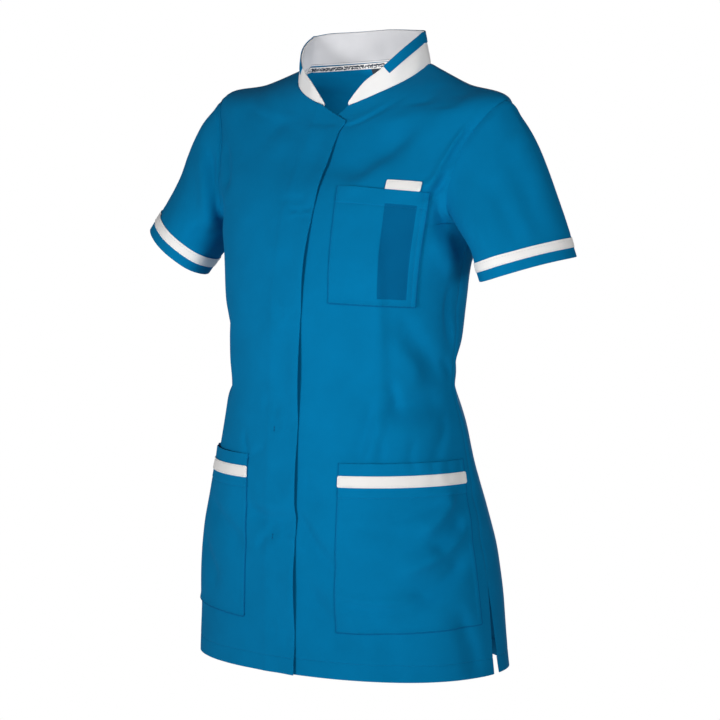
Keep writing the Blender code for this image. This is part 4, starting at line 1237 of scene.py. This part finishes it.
def patchDepth(pocket, share):
    spec = patches[pocket]
    inner = spec["topInner"] - spec["bottomInner"]
    return inner + (spec["topOuter"] - spec["bottomOuter"] - inner) * share


def patchPlace(pocket, share, below):
    # across and station of a place at a share of a pocket's width, by its distance below the top edge
    spec = patches[pocket]
    down = below / patchDepth(pocket, share)
    inner = spec["innerTop"] + (spec["innerBottom"] - spec["innerTop"]) * down
    outer = spec["outerTop"] + (spec["outerBottom"] - spec["outerTop"]) * down
    top = spec["topInner"] + (spec["topOuter"] - spec["topInner"]) * share
    return inner + (outer - inner) * share, top - below


def pocketSizes(pocket):
    spec = patches[pocket]
    width = (spec["outerTop"] - spec["innerTop"] + spec["outerBottom"] - spec["innerBottom"]) / 2
    return width, float(patchDepth(pocket, 0.5))


def insidePen(x, y, width):
    # how far inside the pen section a place on the chest pocket is
    aside = np.minimum(x - penSection["from"] * width, penSection["to"] * width - x)
    return np.minimum(aside, np.minimum(y - penSection["top"], penSection["bottom"] - y))


def pocketLift(pocket, share, down):
    # over the front's own surface: share is outward, down is the share from the top to the bottom
    width, depth = pocketSizes(pocket)
    x, y = share * width, down * depth
    toOuter = width - x
    toBottom = depth - y
    toEdge = np.minimum(np.minimum(x, toOuter), toBottom)
    lift = pocketCloth["above"] + pocketCloth["thickness"]
    lift = lift + pocketCloth["fullness"] * easeInOut(toEdge / 0.045)
    lift = lift + pocketCloth["mouths"][pocket] * (1 - (2 * share - 1) ** 4) * np.exp(-y / 0.035)
    # the edges, drawn in along their stitches
    lift = lift + stitchGroove(toEdge - pocketCloth["edgeStitch"], 0.00016, 0.0008)
    lift = lift + 0.00020 * bump(toEdge - 0.0040, 0.0022) + 0.0011 * bump(toBottom, 0.0030)
    lift = lift + pocketCloth["outerEdges"][pocket] * bump(toOuter, 0.0050)
    # the turned hem along the mouth is double as far as its stitches
    hem = pocketCloth["hems"][pocket]
    lift = lift + 0.0004 * easeInOut((hem - y) / 0.0012) + stitchGroove(y - hem, 0.0003)
    if pocket != "chest_pocket":
        for place, wide, height in pocketCloth["mouthPuckers"]:
            lift = lift + height * bump(share - place, wide) * bump(y, 0.020)
        return lift
    lift = lift + stitchGroove(toOuter - pocketCloth["secondStitch"], 0.00022, 0.0008)
    return lift - penSection["sink"] * easeInOut(insidePen(x, y, width) / 0.0012 + 0.5)


def onFront(pocket, across, station, extra):
    side = patches[pocket]["side"]
    return frontPoints(side, side < 0, across, station, extra)


def roundCorners(x, y, width, depth, radius, corners):
    # pulls grid points near a corner in onto a rounded outline
    for cornerX, cornerY in corners:
        wayX = 1 if cornerX == 0 else -1
        wayY = 1 if cornerY == 0 else -1
        dx = (x - cornerX * width) * wayX
        dy = (y - cornerY * depth) * wayY
        near = (dx < radius) & (dy < radius)
        ux, uy = np.clip(1 - dx / radius, 0, 1), np.clip(1 - dy / radius, 0, 1)
        scale = np.where(near, np.maximum(ux, uy) / np.maximum(np.hypot(ux, uy), 1e-9), 1.0)
        x = np.where(near, cornerX * width + wayX * (1 - ux * scale) * radius, x)
        y = np.where(near, cornerY * depth + wayY * (1 - uy * scale) * radius, y)
    return x, y


def makePocket(name):
    spec = patches[name]
    width, depth = pocketSizes(name)
    edge, second, shadeWidth = (pocketCloth[key] for key in ("edgeStitch", "secondStitch", "paintedEdgeShadeWidth"))
    hem = pocketCloth["hems"][name]
    sides = [0.0, 0.0005, shadeWidth, edge, second]
    linesX = sides + [width - line for line in sides]
    linesY = [0.0, 0.0005, hem, depth - second, depth - edge, depth - shadeWidth, depth]
    if name == "chest_pocket":
        linesX += [penSection["from"] * width, penSection["to"] * width]
        linesY += [penSection["top"], penSection["bottom"]]
    x, y = np.meshgrid(finely(0.0, width, pocketCloth["step"], linesX, reach=0.0013),
                       finely(0.0, depth, pocketCloth["step"], linesY, reach=0.0013))
    plain = np.stack((x, y), axis=-1).reshape(-1, 2)
    x, y = roundCorners(x, y, width, depth, pocketCloth["cornerRounds"][name], ((0, 1), (1, 1)))
    share, down = x / width, y / depth
    across, station = patchPlace(name, share, down * patchDepth(name, share))
    outer, normal = onFront(name, across, station, pocketLift(name, share, down))
    piece = clothShell(name + "_cloth", outer, gridNormals(outer, normal), pocketCloth["thickness"],
                       (spec["side"] * across, station), twillBlue)
    # painted shade: the band along the turned-in side and bottom edges and the sunk pen section get darker
    # copies of the teal
    piece.data.materials.append(twillPaintedEdgeShade)
    piece.data.materials.append(twillPaintedShade)
    for face in piece.data.polygons:
        onTop = [plain[v] for v in face.vertices if v < len(plain)] or [(width / 2, depth / 2)]
        faceX, faceY = np.mean(onTop, axis=0)
        if min(faceX, width - faceX, depth - faceY) < shadeWidth:
            face.material_index = 1
        elif name == "chest_pocket" and insidePen(faceX, faceY, width) > 0:
            face.material_index = 2
    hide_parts(name)
    down = np.arange(0.001, depth - edge, pocketCloth["stitchSteps"])
    over = np.arange(edge, width - edge, pocketCloth["stitchSteps"])
    upright = [edge, width - edge] + ([width - second] if name == "chest_pocket" else [])
    seams = [(np.full_like(down, line), down) for line in upright]
    seams += [(over, np.full_like(over, line)) for line in (depth - edge, hem)]
    for x, y in seams:
        share, down = x / width, y / depth
        across, station = patchPlace(name, share, down * patchDepth(name, share))
        stitchLine("blue", *onFront(name, across, station, pocketLift(name, share, down)))


def makeStrip(name):
    pocket, first, last, top, bottom, radius, inset = strips[name]
    spec = patches[pocket]
    width = (spec["outerTop"] - spec["innerTop"]) * (last - first)
    depth = bottom - top
    stitch = stripCloth["edgeStitch"]

    def onStrip(x, y, relief):
        # a strip across a pocket lies on the pocket, the tab lies on the front
        share = first + (last - first) * x / width
        if top > 0:
            under = pocketLift(pocket, share, (top + y) / pocketSizes(pocket)[1])
        else:
            under = tabLift["above"] + tabLift["arch"] * np.sin(math.pi * np.clip(x / width, 0, 1))
        across, station = patchPlace(pocket, share, top + y)
        return across, station, onFront(pocket, across, station, under + stripCloth["above"] + relief)

    x, y = np.meshgrid(finely(0.0, width, 0.0030, (0.0, stitch, width - stitch, width), 0.0005, 0.0012),
                       finely(0.0, depth, 0.0015, (0.0, stitch, depth - stitch, depth), 0.0005, 0.0012))
    x, y = roundCorners(x, y, width, depth, radius, ((0, 0), (1, 0), (0, 1), (1, 1)))
    toEdge = np.minimum(np.minimum(x, width - x), np.minimum(y, depth - y))
    across, station, (outer, normal) = onStrip(x, y, stitchGroove(toEdge - stitch, 0.00022, 0.0007))
    # painted shade: the strips take a slightly greyer copy of the white cloth
    piece = clothShell(name + "_cloth", outer, gridNormals(outer, normal), stripCloth["thickness"],
                       (spec["side"] * across, station), twillStripPaintedShade)
    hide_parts(name)
    # stitched all round
    corners = ((inset, inset), (width - inset, inset), (width - inset, depth - inset),
               (inset, depth - inset), (inset, inset))
    for (x0, y0), (x1, y1) in zip(corners, corners[1:]):
        count = max(3, int(math.hypot(x1 - x0, y1 - y0) / 0.002))
        line = onStrip(np.linspace(x0, x1, count), np.linspace(y0, y1, count), -0.0001)
        stitchLine("white", *line[2])


for name in pockets:
    makePocket(name)
for name in strips:
    makeStrip(name)
print("pockets made")


# A plain woven label inside the back neck.
label = {"halfWidth": 0.028, "stations": (0.788, 0.830), "thickness": 0.0006,
         "under": 0.0012,          # how far it lies under the back's inside
         "wave": 0.0006, "step": 0.002}


def makeLabel():
    low, high = label["stations"]
    across, station = np.meshgrid(finely(-label["halfWidth"], label["halfWidth"], label["step"]),
                                  finely(low, high, label["step"]))
    normal = bodyNormal("back", across, station)
    # sewn down along its top edge, so it waves and stands off farther down
    wave = label["wave"] * np.sin(across * 90) * easeInOut((high - station) / 0.02)
    inside = backLift(across, station) - garment["clothThickness"] - label["under"] + wave * 0.5
    inside = inside - label["wave"] * easeInOut((high - station) / 0.03)
    outer = bodyAt("back", across, station) + normal * inside[..., None]
    piece = clothShell("neck_label_cloth", outer, gridNormals(outer, -normal), label["thickness"],
                       (across, station), labelSatin)
    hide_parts("neck_label")


makeLabel()
finishStitches("blue", "stitches_teal", threadBlue)
finishStitches("deep", "stitches_bar_tacks", threadDeep)
finishStitches("white", "stitches_white", threadWhite)
finishStitches("navy", "neck_overlock_thread", threadNavy)
print("label and stitches made")


# A pale studio: a floor well below the hem, broad frontal light and an even white surround.
studio = {
    "floorHeight": -1.45, "floorSize": 2.4, "floorGlow": 0.45,
    # power in watts, side in metres, azimuth from the front toward its left, elevation, distance,
    # spread in degrees and the height it aims at
    "softboxes": {"softboxKey": (3.25, 0.8, -6.0, -4.0, 3.2, 40.0, -0.28),
                  "softboxSide": (4.7, 0.9, 60.0, 2.0, 3.2, 60.0, -0.16),
                  "softboxBack": (7.4, 1.0, 200.0, 8.0, 3.2, 60.0, -0.30)},
    # a narrow spot that reaches into the neck
    "neckSpot": {"power": 20.0, "azimuth": 62.0, "elevation": 1.0, "distance": 2.6, "cone": 5.5,
                 "soft": 0.10, "aim": (0.0, -0.02, 0.0)},
    # a small reflector inside the hollow neck: power, side, place and what it aims at
    "cards": {"neckCard": (0.110, 0.10, (0.0, -0.045, -0.085), (0.0, 0.06, -0.035))},
    # the even light all round, and its share overhead and behind
    "fill": 0.26, "ceiling": 0.22, "behind": 0.50, "fillColour": (0.96, 0.985, 1.05, 1.0),
}


def makeFloor():
    mesh = bpy.data.meshes.new("floor")
    half = studio["floorSize"] / 2
    corners = [(-half, -half, 0), (half, -half, 0), (half, half, 0), (-half, half, 0)]
    mesh.from_pydata(corners, [], [(0, 1, 2, 3)])
    # opal acrylic lit from below: an even pale surface with no glare
    material, tree, shader = startMaterial("opalAcrylicFloor")
    fibre = addNode(tree, "ShaderNodeTexNoise", inputs={"Scale": 40.0, "Detail": 3.0})
    tone = addNode(tree, "ShaderNodeMix", {"data_type": "RGBA"},
                   {"A": linear("#F1F1F1"), "B": linear("#F6F6F6")}, {"Factor": fibre.outputs["Fac"]})
    tree.links.new(tone.outputs["Result"], shader.inputs["Base Color"])
    shader.inputs["Roughness"].default_value = 0.9
    shader.inputs["Emission Color"].default_value = linear("#F6F6F6")
    shader.inputs["Emission Strength"].default_value = studio["floorGlow"]
    mesh.materials.append(material)
    floor = addObject("floor", mesh)
    floor.location.z = studio["floorHeight"]


def aimAt(thing, target):
    way = target - thing.location
    thing.rotation_euler = way.to_track_quat("-Z", "Y").to_euler()


def lookFrom(aim, azimuth, elevation, distance):
    # azimuth is 0 in front and grows toward the garment's left side
    azimuth, elevation = math.radians(azimuth), math.radians(elevation)
    return aim + Vector((math.sin(azimuth) * math.cos(elevation),
                         -math.cos(azimuth) * math.cos(elevation), math.sin(elevation))) * distance


def addLamp(name, kind, power, place, aim, **settings):
    data = bpy.data.lights.new(name, kind)
    data.energy = power
    for setting, value in settings.items():
        setattr(data, setting, value)
    lamp = addObject(name, data)
    lamp.location = place
    aimAt(lamp, Vector(aim))
    return lamp


def makeLights():
    for name, (power, size, azimuth, elevation, distance, spread, height) in studio["softboxes"].items():
        aim = Vector((0.0, -0.04, height))
        addLamp(name, "AREA", power, lookFrom(aim, azimuth, elevation, distance), aim, size=size,
                spread=math.radians(spread))
    spot = studio["neckSpot"]
    place = lookFrom(Vector(spot["aim"]), spot["azimuth"], spot["elevation"], spot["distance"])
    addLamp("neckSpot", "SPOT", spot["power"], place, spot["aim"], spot_size=math.radians(spot["cone"]),
            spot_blend=1.0, shadow_soft_size=spot["soft"])
    for name, (power, size, place, aim) in studio["cards"].items():
        addLamp(name, "AREA", power, place, aim, size=size).visible_camera = False


def makeWorld():
    # an even surround, dimmer overhead and behind; what the camera itself sees of it is plain white
    world = bpy.data.worlds.new("studioAir")
    bpy.context.scene.world = world
    world.use_nodes = True
    tree = world.node_tree
    background = tree.nodes["Background"]
    path = addNode(tree, "ShaderNodeLightPath")
    tone = addNode(tree, "ShaderNodeMix", {"data_type": "RGBA"},
                   {"A": studio["fillColour"], "B": (1.0, 1.0, 1.0, 1.0)},
                   {"Factor": path.outputs["Is Camera Ray"]})
    tree.links.new(tone.outputs["Result"], background.inputs["Color"])
    place = addNode(tree, "ShaderNodeTexCoord")
    parts = addNode(tree, "ShaderNodeSeparateXYZ", links={"Vector": place.outputs["Generated"]})
    overhead = addNode(tree, "ShaderNodeMapRange",
                       inputs={"From Min": 0.0, "From Max": 0.8, "To Min": studio["fill"],
                               "To Max": studio["fill"] * studio["ceiling"]},
                       links={"Value": parts.outputs["Z"]})
    behind = addNode(tree, "ShaderNodeMapRange",
                     inputs={"From Min": -0.35, "From Max": 0.45, "To Min": 1.0,
                             "To Max": studio["behind"]},
                     links={"Value": parts.outputs["Y"]})
    around = addNode(tree, "ShaderNodeMath", {"operation": "MULTIPLY"},
                     links={0: overhead.outputs["Result"], 1: behind.outputs["Result"]})
    strength = addNode(tree, "ShaderNodeMix", {"data_type": "FLOAT"}, {"B": 1.0},
                       {"Factor": path.outputs["Is Camera Ray"], "A": around.outputs["Value"]})
    tree.links.new(strength.outputs["Result"], background.inputs["Strength"])


# the photo's viewpoint, 35 degrees from the front toward the wearer's left; the lens is in mm
view = {"place": (1.7207, -2.5075, -0.15), "aim": (0.0124, -0.0413, -0.376), "lens": 118.6}


def makeCamera():
    data = bpy.data.cameras.new("camera")
    data.lens = view["lens"]
    data.sensor_width = 36.0
    camera = addObject("camera", data)
    camera.location = view["place"]
    aimAt(camera, Vector(view["aim"]))
    bpy.context.scene.camera = camera


makeFloor()
makeLights()
makeWorld()
makeCamera()
bpy.context.scene.view_settings.view_transform = "Standard"
print("studio ready")
